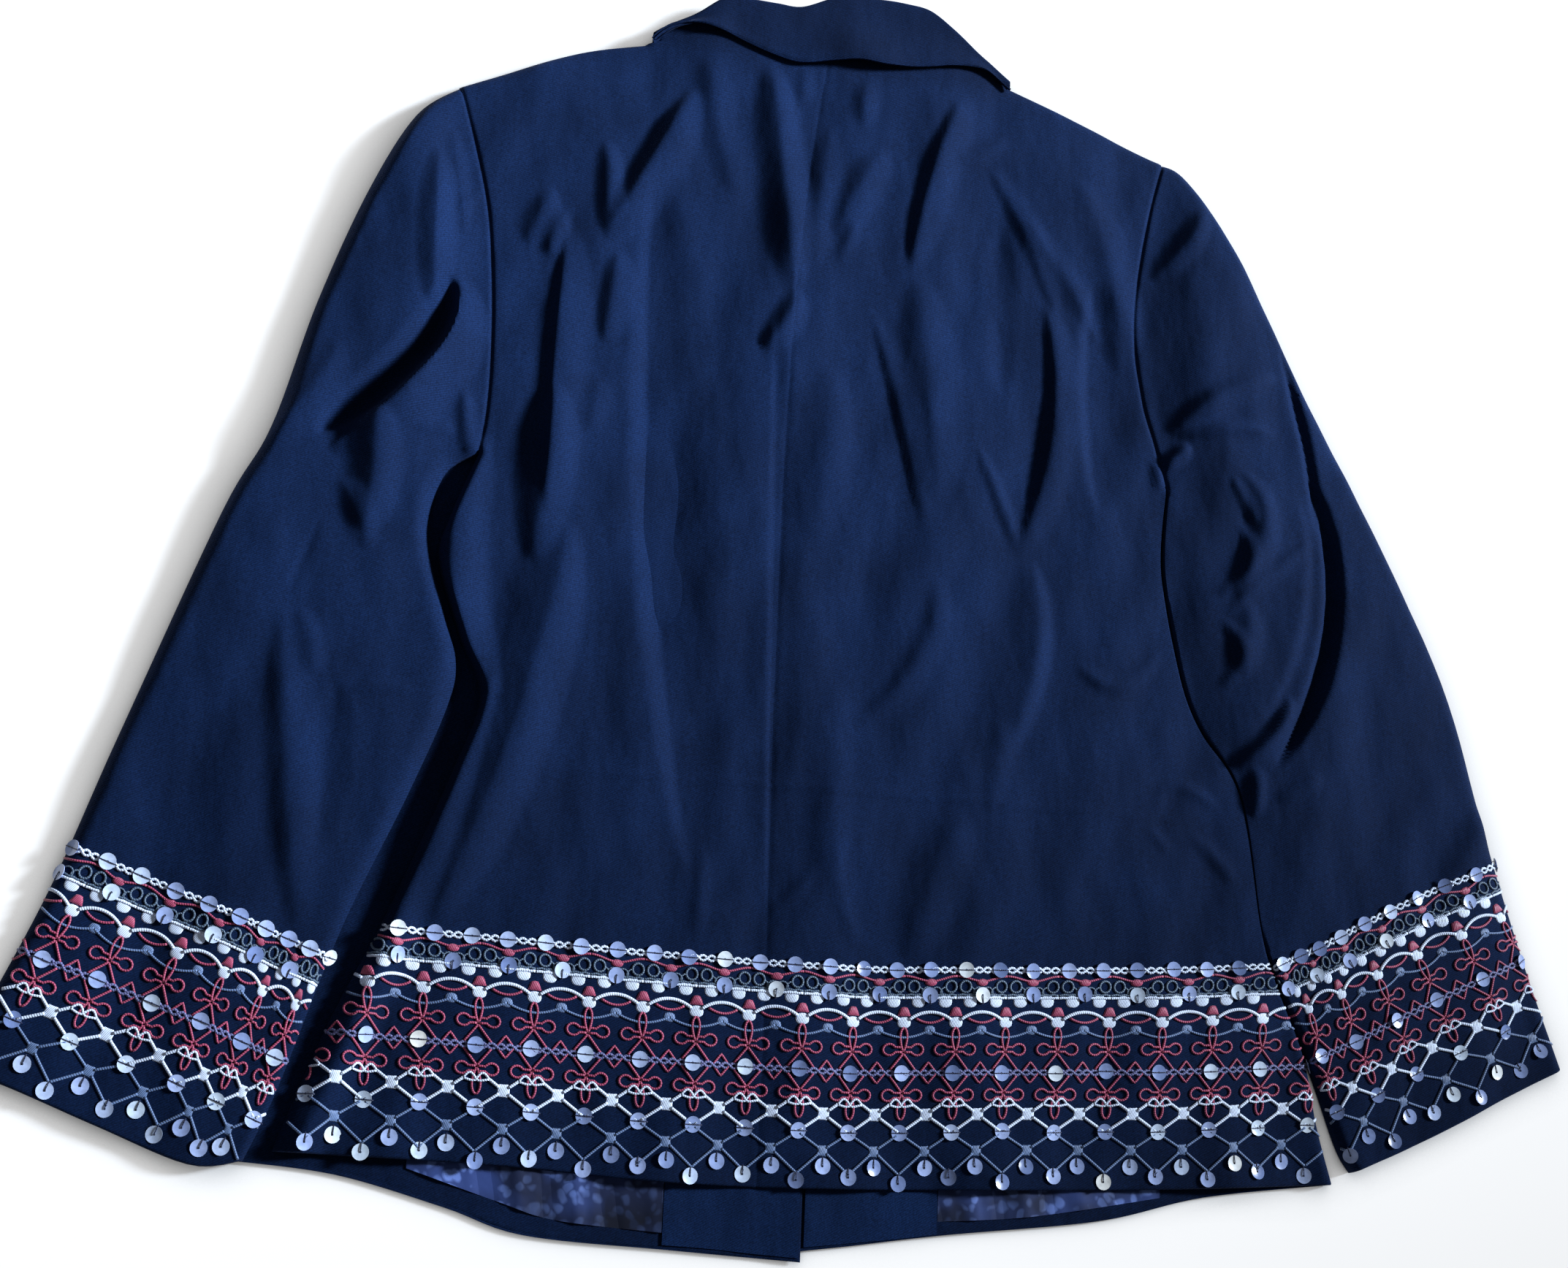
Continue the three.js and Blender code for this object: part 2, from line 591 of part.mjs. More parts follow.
// ---- the sleeves
function sleeveEdges(side, armParts, sideParts, inset) {
  const lines = LINES[side];
  const mirrored = side === "right";
  const fromBody = mirrored ? SEAM_GAP / 2 : -SEAM_GAP / 2;
  const inner = edgePoints(lines.armhole, armParts, lines.sleeveInner, sideParts, fromBody);
  const start = (CAP_START + inset) / lines.sleeveOuter.length;
  const outer = inner.map((_, i) => pointOn(lines.sleeveOuter, mix(start, 1, outerPart(i, armParts, sideParts))));
  return { inner, outer };
}

// The outer edge's share for each row of the inner edge.
function outerPart(i, armParts, sideParts) {
  const armholeShare = 0.36;
  if (i < armParts.length) return armParts[i] * armholeShare;
  return mix(armholeShare, 1, sideParts[i - armParts.length + 1]);
}

function sleeveNet(side, armParts, sideParts, columns, inset) {
  const { inner, outer } = sleeveEdges(side, armParts, sideParts, inset);
  const top = columns.map((part) => ({
    x: mix(inner[0].x, outer[0].x, part),
    y: mix(inner[0].y, outer[0].y, part),
  }));
  const bottom = columns.map((part) => pointOn(LINES[side].cuff, part));
  const rows = inner.map((_, i) => outerPart(i, armParts, sideParts));
  return netBetween({ left: inner, right: outer, top, bottom, columns, rows });
}

function topSleeve(side) {
  const lines = LINES[side];
  const mirrored = side === "left";
  const width = 140;
  const columns = partsBoth(EDGE_STEPS, SLEEVE_COLUMNS, width);
  const net = sleeveNet(side, armholeParts(lines.armhole), even(SIDE_ROWS), columns, 0);
  const upright = (x, y) => clamp(distanceTo(lines.armhole, x, y) / 12);
  const outer = net.map((row) =>
    row.map(({ x, y }) => ({ x, y, z: sleeveTop(side, x, y, SLEEVE_WALL, upright(x, y)) })),
  );
  const rest = (x, y) => sleeveRest(side, x, y);
  const inner = innerNet(outer, SLEEVE_WALL, upright, rest, mirrored);
  return closedMesh(`sleeve_${side}_top`, outer, inner, navy);
}

function underSleeve(side) {
  const armParts = even(UNDER_ARMHOLE_ROWS);
  const columns = [0, 0.09, 0.18, 0.28, 0.5, 0.75, 1];
  const net = sleeveNet(side, armParts, even(UNDER_SIDE_ROWS), columns, 2);
  const lower = net.map((row) => row.map(({ x, y }) => ({ x, y, z: underSleeveFoot(side, x, y) })));
  const upper = lower.map((row) => row.map((point) => ({ ...point, z: point.z + UNDER_SLEEVE_WALL })));
  return closedMesh(`sleeve_${side}_under`, upper, lower, navyInside);
}

// ---- the fronts
function front(side) {
  const lines = LINES[side];
  const mirrored = side === "right";
  const towardBody = mirrored ? -SEAM_GAP / 2 : SEAM_GAP / 2;
  const armParts = even(UNDER_ARMHOLE_ROWS);
  const sideParts = even(UNDER_SIDE_ROWS);
  const left = edgePoints(lines.armhole, armParts, lines.frontSide, sideParts, towardBody);
  const share = 0.4;
  const rows = [...armParts.map((part) => part * share), ...sideParts.slice(1).map((part) => mix(share, 1, part))];
  const right = rows.map((part) => pointOn(lines.frontEdge, part));
  const columns = even(12);
  const top = columns.map((part) => pointOn(lines.shoulder, part));
  const bottom = columns.map((part) => pointOn(lines.frontHem, part));
  const net = netBetween({ left, right, top, bottom, columns, rows });
  const lower = net.map((row) => row.map(({ x, y }) => ({ x, y, z: frontLift(side, x, y) })));
  const upper = lower.map((row) => row.map((point) => ({ ...point, z: point.z + FRONT_WALL })));
  return closedMesh(`front_${side}`, upper, lower, navy);
}

// ---- flat pieces: facings, linings, lapels and collar ends
// A flat piece between a lower and an upper line, laid at a height that may follow what carries it.
function strip(name, lowRows, highRows, heightAt, wall, material) {
  const low = lineThrough(lowRows);
  const high = lineThrough(highRows);
  const columns = even(8);
  const rows = even(3);
  const top = columns.map((part) => pointOn(high, part));
  const bottom = columns.map((part) => pointOn(low, part));
  const left = rows.map((part) => ({ x: mix(top[0].x, bottom[0].x, part), y: mix(top[0].y, bottom[0].y, part) }));
  const last = columns.length - 1;
  const right = rows.map((part) => ({
    x: mix(top[last].x, bottom[last].x, part),
    y: mix(top[last].y, bottom[last].y, part),
  }));
  const net = netBetween({ left, right, top, bottom, columns, rows });
  const lower = net.map((row) => row.map(({ x, y }) => ({ x, y, z: heightAt(x, y) })));
  const upper = lower.map((row) => row.map((point) => ({ ...point, z: point.z + wall })));
  return closedMesh(name, upper, lower, material);
}

const INSIDE_TOP = 24; // the inside strips run this far up under the back
const onFront = (side) => (x, y) => FRONT_WALL + SEAM_GAP + frontLift(side, x, y, 6);
const INSIDE_STRIPS = [
  {
    name: "lining_left", side: "left", material: satin,
    low: [{ x: -196, y: -5 }, { x: -150, y: -19 }, { x: -120, y: -27 }, { x: -66, y: -31 }],
    high: [{ x: -196, y: INSIDE_TOP }, { x: -150, y: INSIDE_TOP }, { x: -120, y: INSIDE_TOP }, { x: -66, y: INSIDE_TOP }],
  },
  {
    name: "facing_left", side: "left", material: navy,
    low: [{ x: -65.4, y: -37 }, { x: -40, y: -38 }, { x: -20, y: -39.5 }, { x: 5.5, y: -41 }],
    high: [{ x: -65.4, y: INSIDE_TOP }, { x: -40, y: INSIDE_TOP }, { x: -20, y: INSIDE_TOP }, { x: 5.5, y: INSIDE_TOP }],
  },
  {
    name: "facing_right", side: "right", material: navy,
    low: [{ x: 8.6, y: -35.5 }, { x: 30, y: -33 }, { x: 55, y: -30 }, { x: 80, y: -26.5 }],
    high: [{ x: 8.6, y: INSIDE_TOP }, { x: 30, y: INSIDE_TOP }, { x: 55, y: INSIDE_TOP }, { x: 80, y: INSIDE_TOP }],
  },
  {
    name: "lining_right", side: "right", material: satin,
    low: [{ x: 80.6, y: -20 }, { x: 120, y: -17 }, { x: 155, y: -12 }, { x: 205, y: -3 }],
    high: [{ x: 80.6, y: INSIDE_TOP }, { x: 120, y: INSIDE_TOP }, { x: 155, y: INSIDE_TOP }, { x: 205, y: INSIDE_TOP }],
  },
];
const insideStrips = INSIDE_STRIPS.map((row) =>
  strip(row.name, row.low, row.high, onFront(row.side), INSIDE_LAYER_WALL, row.material),
);

const flat = () => 0;
const UNDERSIDE_PIECES = [
  {
    name: "lapel_left",
    low: [{ x: -163, y: 566 }, { x: -122, y: 478 }, { x: -62, y: 400 }, { x: 0, y: 345 }],
    high: [{ x: -94, y: 590 }, { x: -66, y: 514 }, { x: -36, y: 434 }, { x: 2, y: 349 }],
  },
  {
    name: "lapel_right",
    low: [{ x: 166, y: 576 }, { x: 126, y: 484 }, { x: 66, y: 400 }, { x: 6, y: 345 }],
    high: [{ x: 96, y: 596 }, { x: 68, y: 514 }, { x: 40, y: 434 }, { x: 4, y: 349 }],
  },
  {
    name: "collar_end_left",
    low: [{ x: -166, y: 582 }, { x: -160, y: 600 }, { x: -154, y: 618 }],
    high: [{ x: -96, y: 598 }, { x: -102, y: 616 }, { x: -108, y: 632 }],
  },
  {
    name: "collar_end_right",
    low: [{ x: 169, y: 592 }, { x: 163, y: 611 }, { x: 156, y: 630 }],
    high: [{ x: 98, y: 605 }, { x: 104, y: 624 }, { x: 110, y: 642 }],
  },
];
const undersidePieces = UNDERSIDE_PIECES.map((row) =>
  strip(row.name, row.low, row.high, flat, LAPEL_WALL, navy),
);

// ---- the collar: a stand that rises from the neck seam, folds over and falls back over it
// fold is the top of the collar, fall the edge of the part that turns down.
const COLLAR_SHAPE = [
  { x: -108, fold: 646, fall: 637, seam: 641.5 },
  { x: -85, fold: 660, fall: 652, seam: 656 },
  { x: -65, fold: 676, fall: 651, seam: 662 },
  { x: -40, fold: 676, fall: 642, seam: 663 },
  { x: -20, fold: 677, fall: 639, seam: 664 },
  { x: 0, fold: 687, fall: 643, seam: 666 },
  { x: 30, fold: 691, fall: 645, seam: 668 },
  { x: 55, fold: 690, fall: 649, seam: 669 },
  { x: 80, fold: 675, fall: 655, seam: 665 },
  { x: 97, fold: 663, fall: 653, seam: 658 },
  { x: 108, fold: 656, fall: 648, seam: 653.5 },
];

function collar() {
  const COLLAR_COLUMNS = 26;
  const ROLL_STEPS = 5;
  const INSIDE_GAP = 0.9;
  const radius = COLLAR_WALL + INSIDE_GAP / 2;
  const lineOf = (column) => lineThrough(COLLAR_SHAPE.map((row) => ({ x: row.x, y: row[column] })));
  const [foldLine, fallLine, seamLine] = ["fold", "fall", "seam"].map(lineOf);
  const outer = even(COLLAR_COLUMNS).map((part) => {
    const fold = pointOn(foldLine, part);
    const fall = pointOn(fallLine, part);
    const seam = pointOn(seamLine, part);
    const high = COLLAR_TOP - neckDrop(fold.x);
    const low = high - 2 * radius;
    const turn = fold.y - radius;
    const edgeLift = 1.2;
    const line = [
      { x: fall.x, y: fall.y, z: high + edgeLift },
      { x: mix(fall.x, fold.x, 0.3), y: mix(fall.y, turn, 0.3), z: high + 0.4 },
      { x: mix(fall.x, fold.x, 0.65), y: mix(fall.y, turn, 0.65), z: high },
    ];
    even(ROLL_STEPS).forEach((share) => {
      const angle = Math.PI * share;
      line.push({ x: fold.x, y: turn + radius * Math.sin(angle), z: (high + low) / 2 + radius * Math.cos(angle) });
    });
    line.push({ x: mix(fold.x, seam.x, 1), y: Math.min(seam.y, turn - 0.6), z: low });
    return line;
  });
  const inner = innerNet(outer, COLLAR_WALL, () => 1, () => 0, false);
  return closedMesh("collar", outer, inner, navy);
}

// ---- the whole jacket
const jacket = new THREE.Group();
for (const side of ["left", "right"]) {
  jacket.add(backHalf(side), topSleeve(side), underSleeve(side), front(side));
}
jacket.add(...insideStrips, ...undersidePieces, collar());
jacket.position.set(-FOOTPRINT_MIDDLE.x, -FOOTPRINT_MIDDLE.y, 0);

export default jacket;
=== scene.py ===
"""A navy tailored jacket laid on its fronts, with a thread and sequin border at hem and cuffs.

Lengths are millimetres from the foot of the centre back: x to the wearer's right, y to the collar and z up
from the floor, as in the part's source. to_metres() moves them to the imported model's frame.
"""

import math

import bpy
import numpy as np
from mathutils import Matrix, Vector


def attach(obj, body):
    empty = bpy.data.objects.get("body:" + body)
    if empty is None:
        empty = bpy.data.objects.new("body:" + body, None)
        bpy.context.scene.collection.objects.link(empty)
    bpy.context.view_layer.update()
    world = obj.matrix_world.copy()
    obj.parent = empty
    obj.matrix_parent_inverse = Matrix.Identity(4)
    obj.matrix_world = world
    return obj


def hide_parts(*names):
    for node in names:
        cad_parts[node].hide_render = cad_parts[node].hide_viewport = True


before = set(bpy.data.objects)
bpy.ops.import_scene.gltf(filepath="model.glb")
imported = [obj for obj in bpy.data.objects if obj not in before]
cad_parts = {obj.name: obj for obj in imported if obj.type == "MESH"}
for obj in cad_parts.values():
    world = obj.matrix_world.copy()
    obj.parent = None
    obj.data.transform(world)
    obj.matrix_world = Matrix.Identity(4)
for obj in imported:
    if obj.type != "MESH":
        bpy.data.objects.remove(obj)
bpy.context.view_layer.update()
random = np.random.default_rng(7)

# ---- sizes that the part's source has too
FOOTPRINT_MIDDLE = np.array([18.5, 323.5, 0.0])
HEM_HEIGHT = 6.4
BODY_HEIGHT = 8.4
SHOULDER_RISE = 3.0
SLEEVE_RISE = 4.5
SLEEVE_DOME = 3.5
CUFF_HEIGHT = 8.5
COLLAR_TOP = 15.0
COLLAR_END_DROP = 4.0
SHOULDER_ROLL = 7
CAP_START = 10
FLAP_UNDER_SLEEVE = 8
LAPEL_BAND = {"inner": 115, "outer": 140, "top": 300, "foot": 270}

# ---- heights of what lies under the back
FLOOR_GAP = 1.2  # under the fronts, beside the lapels that hold them off the floor
FRONT_CLOTH = 1.1
LAPEL_RISE = 1.8
LAP = 4  # how far the right front reaches under the left one at the hem
LAP_RISE = 1.3
REST_ON_FRONT = 2.5
UNDER_SLEEVE_TOP = 2.1
CLOTH = 1.3  # thickness of the coat cloth with its lining
HEM_RADIUS = 1.3
HEM_LIFT = 3.4  # how far the back's hem curls up where it curls most

# ---- where heights change: each from the first place, in millimetres, to the second
HEM_RISE = (0, 70)  # up the body, from the hem's height to the body's
SHOULDER_SLOPE = (250, 560)  # up the body
NECK_SLOPE = (590, 636)  # up the body
NECK_END = (70, 112)  # aside from the middle of the neck
NECK_MIDDLE = 2
FOLDS_END = (644, 622)  # down the body, where the folds come out from under the collar
HEM_CURL = (30, 0)  # towards the hem
LAP_ACROSS = (26, 2)  # towards the front edge
LAP_DOWN = (60, 10)  # down the front
FLAP_ACROSS = (36, 12)  # towards the left sleeve's inner edge
FLAP_DOWN = (400, 365)  # down the left sleeve
SLEEVE_FILL = (60, 260)  # up the sleeve from its cuff, to its full rise
CUFF_END = (0, 90)  # up the sleeve from its cuff, to its own height
BESIDE_SEAM = (0, 45)  # out from the armhole's seam
BESIDE_BODY = (-12, 30)  # out from the right sleeve's inner edge

SIDES = ("left", "right")


def to_metres(points):
    """Points in the jacket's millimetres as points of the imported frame."""
    return (np.asarray(points, float) - FOOTPRINT_MIDDLE) / 1000


# ---- outlines: x, y and, where an edge is turned, its roll radius
OUTLINES = {
    "left shoulder": [(-217, 592), (-200, 601), (-150, 627), (-112, 639)],
    "right shoulder": [(212, 614), (200, 618), (150, 637), (114, 649)],
    "left neck": [(-112, 639), (-60, 656), (0, 662)],
    "right neck": [(114, 649), (60, 664), (0, 662)],
    "left armhole": [(-217, 592), (-205, 555), (-194, 510), (-188, 450), (-187, 400), (-190, 372)],
    "right armhole": [(212, 614), (202, 575), (192, 505), (197, 455), (205, 425), (212, 400)],
    "centre back": [(0, 662), (-12, 560), (-18, 460), (-19, 275), (-18, 130), (-18, -7)],
    "left side": [
        (-190, 372, 5), (-202, 335, 3), (-206, 310, 3), (-191, 268, 3), (-178, 238, 3),
        (-189, 198, 4), (-204, 155, 4), (-220, 112, 4), (-240, 65, 4), (-262, 0, 4),
    ],
    "right side": [
        (212, 400, 1), (208, 355, 1), (212, 325, 0.8), (221, 282, 0.8), (233, 255, 0.6), (252, 228, 0.5),
        (259, 200, 0.5), (265, 150, 0.5), (272, 123, 1.5), (290, 80, 4), (298, 40, 5), (306, 8, 5),
    ],
    "left hem": [(-262, 0), (-150, -2), (-80, -6), (-18, -7)],
    "right hem": [(306, 8), (200, 1), (60, -5), (-18, -7)],
    "left sleeve inner": [
        (-190, 372, 4), (-206, 360, 9), (-213, 325, 9), (-200, 280, 9), (-192, 255, 9),
        (-195, 230, 10), (-212, 180, 9), (-238, 112, 6), (-262, 30, 4), (-275, -5, 3.5),
    ],
    "left sleeve outer": [
        (-217, 592, 7), (-240, 570, 8), (-262, 520, 9), (-283, 450, 9), (-300, 375, 9),
        (-320, 325, 9), (-358, 200, 9), (-383, 115, 8), (-415, 32, 6),
    ],
    "left cuff": [(-275, -5), (-300, -8), (-345, 8), (-390, 25), (-415, 32)],
    "right sleeve inner": [
        (212.4, 399, 1), (208.4, 355, 1), (212.4, 325, 0.8), (221.4, 282, 0.8), (233.2, 256, 0.6),
        (251.9, 229, 0.5), (258.9, 200, 0.5), (264.9, 150, 0.5), (272.4, 123, 1.5), (295, 70, 5),
        (310, 28, 5), (318, 15, 5),
    ],
    "right sleeve outer": [
        (212, 614, 7), (230, 604, 8), (265, 550, 9), (300, 477, 9), (340, 400, 9),
        (387, 300, 9), (411, 210, 9), (432, 140, 8), (452, 78, 6),
    ],
    "right cuff": [(318, 15), (362, 34), (408, 57), (452, 78)],
    "left front edge": [
        (-112, 639), (-74, 540), (-40, 450), (-8, 368), (4, 336), (7, 322), (7, 308), (7, 150), (7, -43),
    ],
    "right front edge": [
        (114, 649), (80, 540), (48, 450), (20, 368), (10.5, 336), (7.8, 322), (7.8, 308),
        (7.8, 150), (7.8, -38),
    ],
    "left front hem": [(-283, -3), (-230, -8), (-175, -22), (-135, -34), (-60, -39), (7, -43)],
    "right front hem": [(305, 5), (230, -4), (170, -18), (80, -28), (7.8, -38)],
}
TOUCHING_ROWS = 8  # rows along which the right sleeve lies against the body

# ---- folds: three places (x, y) of the crest, drawn downwards, then its rise, which is negative in a trough,
# and the widths over which it breaks off steeply on its left and gently on its right
FOLDS = [
    # left half of the back
    (-150, 512, -153, 430, -152, 342, 4, 6, 24),
    (-151, 416, -154, 366, -157, 314, 6.5, 16, 20),
    (-151, 521, -157, 511, -160, 492, 3, 8, 10),
    (-139, 340, -156, 240, -194, 118, 9.5, 36, 24),
    (-160, 535, -167, 518, -173, 499, 3, 10, 12),
    (-132, 570, -129, 540, -130, 512, 4, 9, 12),
    (-83, 612, -104, 564, -129, 508, 7, 10, 22),
    (-121, 503, -123, 478, -126, 446, 4, 9, 16),
    (-127, 425, -129, 410, -131, 392, 1.5, 10, 12),
    (-76, 640, -70, 597, -56, 548, 1.8, 12, 16),
    (-103, 545, -92, 345, -60, 150, -6, 14, 42),
    (-29, 480, -23, 320, -19, 140, -1.5, 3, 18),
    (-38, 640, -28, 565, -18, 490, 7, 18, 18),
    (-18, 494, -22, 475, -36, 455, 5, 10, 12),
    (-16, 642, -17, 630, -18, 612, 1.5, 7, 9),
    (2, 452, 3, 400, 0, 343, 2.5, 20, 20),
    (14, 267, 14, 205, 10, 143, 1.6, 16, 16),
    (-34, 139, -62, 129, -96, 117, 1.1, 5, 7),
    (-55, 168, -56, 143, -57, 117, 1.0, 6, 8),
    # right half of the back
    (24, 642, 20, 625, 20, 604, 3, 9, 12),
    (34, 592, 20, 568, 4, 532, 4, 12, 18),
    (0, 602, -5, 560, -9, 508, 2.5, 10, 14),
    (18, 543, 13, 530, 7, 516, 1.5, 6, 8),
    (84, 640, 63, 581, 51, 516, 5, 7.5, 20),
    (56, 512, 63, 450, 70, 375, 4, 20, 24),
    (27, 488, 44, 438, 63, 358, 2, 4.5, 14),
    (110, 613, 96, 602, 78, 592, 2, 8, 9),
    (98, 591, 118, 558, 141, 500, 2.2, 7, 14),
    (122, 560, 145, 525, 170, 486, 2, 10, 12),
    (107, 555, 106, 500, 108, 445, -2.2, 14, 14),
    (134, 507, 140, 432, 120, 350, 4.4, 7, 20),
    (93, 412, 108, 380, 120, 352, 2, 6, 8),
    (128, 347, 130, 290, 112, 230, 5, 27, 12),
    (154, 592, 176, 530, 182, 470, 3.2, 16, 20),
    (166, 525, 163, 455, 169, 380, -4.8, 9, 34),
    (155, 288, 182, 277, 206, 301, 2.2, 8, 9),
    (204, 204, 214, 222, 241, 211, 1.6, 6, 7),
    (199, 197, 205, 190, 211, 184, 1.2, 5, 6),
    (224, 194, 238, 183, 249, 169, 1.6, 7, 8),
    (90, 196, 72, 160, 60, 114, 3.8, 20, 22),
    (22, 182, 18, 155, 32, 118, 1.1, 6, 8),
    (9, 162, -6, 145, -20, 131, 0.9, 5, 6),
    (71, 332, 62, 284, 27, 241, 2.4, 9, 14),
    (110, 252, 108, 225, 103, 197, 1.4, 9, 12),
    (-180, 201, 30, 204, 240, 203, 0.9, 2.6, 2.6),
    # the edges of the body beside the sleeves
    (-188, 384, -200, 305, -172, 236, 6, 12, 22),
    (-171, 256, -228, 66, -304, -140, 5.5, 12, 15),
    # left sleeve
    (-226, 548, -224, 500, -221, 450, 5, 12, 14),
    (-208, 472, -218, 421, -269, 363, 9, 8, 24),
    (-214, 473, -226, 427, -276, 371, -14, 15, 10),
    (-246, 388, -245, 355, -247, 318, 5, 17, 18),
    (-268, 425, -285, 388, -306, 360, 2.6, 12, 16),
    (-262, 347, -252, 330, -243, 308, 2, 10, 12),
    (-270, 322, -277, 300, -283, 276, -0.8, 3, 4),
    (-284, 274, -275, 195, -260, 106, 4, 13, 20),
    (-276, 274, -270, 257, -265, 238, 2.4, 9, 10),
    (-254, 238, -254, 192, -256, 148, -2.4, 12, 14),
    (-246, 232, -230, 235, -213, 236, 1.2, 5, 6),
    (-224, 379, -213, 382, -203, 382, 1.5, 6, 7),
    (-201, 408, -198, 388, -195, 368, 2.4, 7, 8),
    (-200, 527, -207, 519, -214, 512, 1.2, 5, 6),
    (-219, 562, -213, 530, -207, 498, 1.4, 8, 8),
    # right side and sleeve
    (236, 584, 225, 560, 203, 533, 2.8, 10, 12),
    (281, 478, 245, 462, 212, 434, 4.4, 10, 13),
    (279, 440, 250, 441, 217, 433, 2.2, 6, 8),
    (225, 428, 215, 419, 208, 411, 4.5, 7, 8),
    (203, 417, 205, 408, 206, 398, 2, 5, 6),
    (254, 413, 268, 384, 250, 335, 4, 12, 14),
    (302, 377, 268, 349, 244, 324, 1.8, 6, 8),
    (258, 334, 257, 310, 255, 287, 2.4, 10, 12),
    (283, 497, 299, 430, 304, 375, -4, 5, 6),
    (302, 415, 311, 325, 273, 236, -9.5, 8, 8),
    (292, 402, 290, 330, 264, 262, 3, 44, 8),
    (249, 410, 257, 395, 263, 381, 1.8, 5, 8),
    (253, 381, 257, 357, 239, 337, 2.2, 5, 9),
    (242, 322, 252, 301, 241, 282, 2.4, 6, 9),
    (284, 280, 271, 254, 248, 238, 6, 8, 9),
    (263, 238, 263, 224, 262, 208, 3, 8, 8),
    (302, 234, 289, 227, 274, 219, 1.6, 8, 9),
    (414, 228, 394, 200, 378, 172, 2.6, 14, 16),
]

# ---- the collar: along x, the places y of its fold, of the edge of its fall and of the neck seam
COLLAR_SHAPE = [
    (-108, 646, 639, 641.5), (-103, 650, 645, 646), (-95, 655, 650.5, 651), (-83, 662, 653, 656.5),
    (-65, 676, 651, 662), (-50, 676.5, 646, 663), (-35, 676.5, 641.5, 663.5), (-20, 677, 639, 664),
    (0, 687, 642.5, 666), (15, 689.5, 645, 667), (30, 691, 645, 668), (45, 691, 647, 668.5),
    (60, 689, 650, 668.5), (75, 679, 653.5, 666), (90, 667.5, 655.5, 660), (100, 661, 653.5, 656),
    (112, 652.5, 645.5, 650),
]


# ---- small mathematics
def smooth(start, end, value):
    part = np.clip((value - start) / (end - start), 0, 1)
    return part * part * (3 - 2 * part)


def mix(a, b, part):
    return a + (b - a) * part


def unit(vectors):
    return vectors / np.maximum(np.linalg.norm(vectors, axis=-1, keepdims=True), 1e-9)


def length_along(points):
    """The distance along a row of points, from the first one to each."""
    return np.concatenate([[0], np.cumsum(np.linalg.norm(np.diff(points, axis=0), axis=1))])


class Line:
    """A smooth line through the rows (x, y) or (x, y, roll) of a table."""

    STEPS = 8  # samples in each span between two rows
    AT_ONCE = 6000  # places that nearest() handles together

    def __init__(self, rows):
        full = np.array([tuple(row) + (0.0,) * (3 - len(row)) for row in rows], float)
        padded = np.vstack([full[:1], full, full[-1:]])
        t = (np.arange(self.STEPS) / self.STEPS)[:, None]
        spans = [
            0.5 * (2 * b + (c - a) * t + (2 * a - 5 * b + 4 * c - d) * t**2 + (3 * b - a - 3 * c + d) * t**3)
            for a, b, c, d in zip(padded, padded[1:], padded[2:], padded[3:])
        ]
        self.points = np.vstack(spans + [full[-1:]])
        self.along = length_along(self.points[:, :2])
        self.length = self.along[-1]

    def at(self, part):
        """Points (x, y) at parts, 0 to 1, of the length."""
        wanted = np.clip(np.asarray(part, float), 0, 1) * self.length
        return np.stack([np.interp(wanted, self.along, self.points[:, i]) for i in (0, 1)], axis=-1)

    def nearest(self, x, y):
        """For each place: the distance to the line, 1 where it lies right of a line drawn downwards or -1,
        the roll there and the part of the length."""
        x, y = np.broadcast_arrays(np.asarray(x, float), np.asarray(y, float))
        shape = x.shape
        x, y = x.ravel(), y.ravel()
        start = self.points[:-1]
        step = np.diff(self.points, axis=0)
        span = np.maximum((step[:, :2] ** 2).sum(1), 1e-9)
        found = np.empty((4, x.size))
        for first in range(0, x.size, self.AT_ONCE):
            part = slice(first, first + self.AT_ONCE)
            dx = x[part, None] - start[:, 0]
            dy = y[part, None] - start[:, 1]
            t = np.clip((dx * step[:, 0] + dy * step[:, 1]) / span, 0, 1)
            gap = np.hypot(dx - step[:, 0] * t, dy - step[:, 1] * t)
            best = gap.argmin(1)
            row = np.arange(best.size)
            t = t[row, best]
            side = np.where(step[best, 0] * dy[row, best] - step[best, 1] * dx[row, best] < 0, -1.0, 1.0)
            found[0, part] = gap[row, best]
            found[1, part] = side
            found[2, part] = start[best, 2] + step[best, 2] * t
            found[3, part] = mix(self.along[best], self.along[best + 1], t) / self.length
        return found.reshape((4,) + shape)

    def distance(self, x, y):
        return self.nearest(x, y)[0]


class Crest(Line):
    """The line of a fold: the curve from its first point to its last by way of its middle one."""

    STEPS = 1

    def __init__(self, fold):
        start, middle, end = np.reshape(fold[:6], (3, 2)).astype(float)
        control = 2 * middle - (start + end) / 2
        t = np.linspace(0, 1, 11)[:, None]
        super().__init__((1 - t) ** 2 * start + 2 * t * (1 - t) * control + t**2 * end)
        self.rise, self.steep, self.gentle = fold[6:]
        reach = max(self.steep, self.gentle)
        self.low = self.points[:, :2].min(0) - reach
        self.high = self.points[:, :2].max(0) + reach


LINES = {name: Line(rows) for name, rows in OUTLINES.items()}
LINES["left front side"] = Line([(x - FLAP_UNDER_SLEEVE, y) for x, y, _ in OUTLINES["left sleeve inner"]])
beside_sleeve = [(x - 1.6, y) for x, y, _ in OUTLINES["right sleeve inner"][:TOUCHING_ROWS]]
beside_back = [(x - 0.5, y) for x, y, _ in OUTLINES["right side"][TOUCHING_ROWS:]]
LINES["right front side"] = Line(beside_sleeve + beside_back)
CRESTS = [Crest(fold) for fold in FOLDS]


def crossing(name, known, value):
    """Where a line crosses a value of the known axis, 0 for x and 1 for y: its place on the other one."""
    points = LINES[name].points
    points = points[points[:, known].argsort()]
    return np.interp(value, points[:, known], points[:, 1 - known])


def x_on(name, y):
    return crossing(name, 1, y)


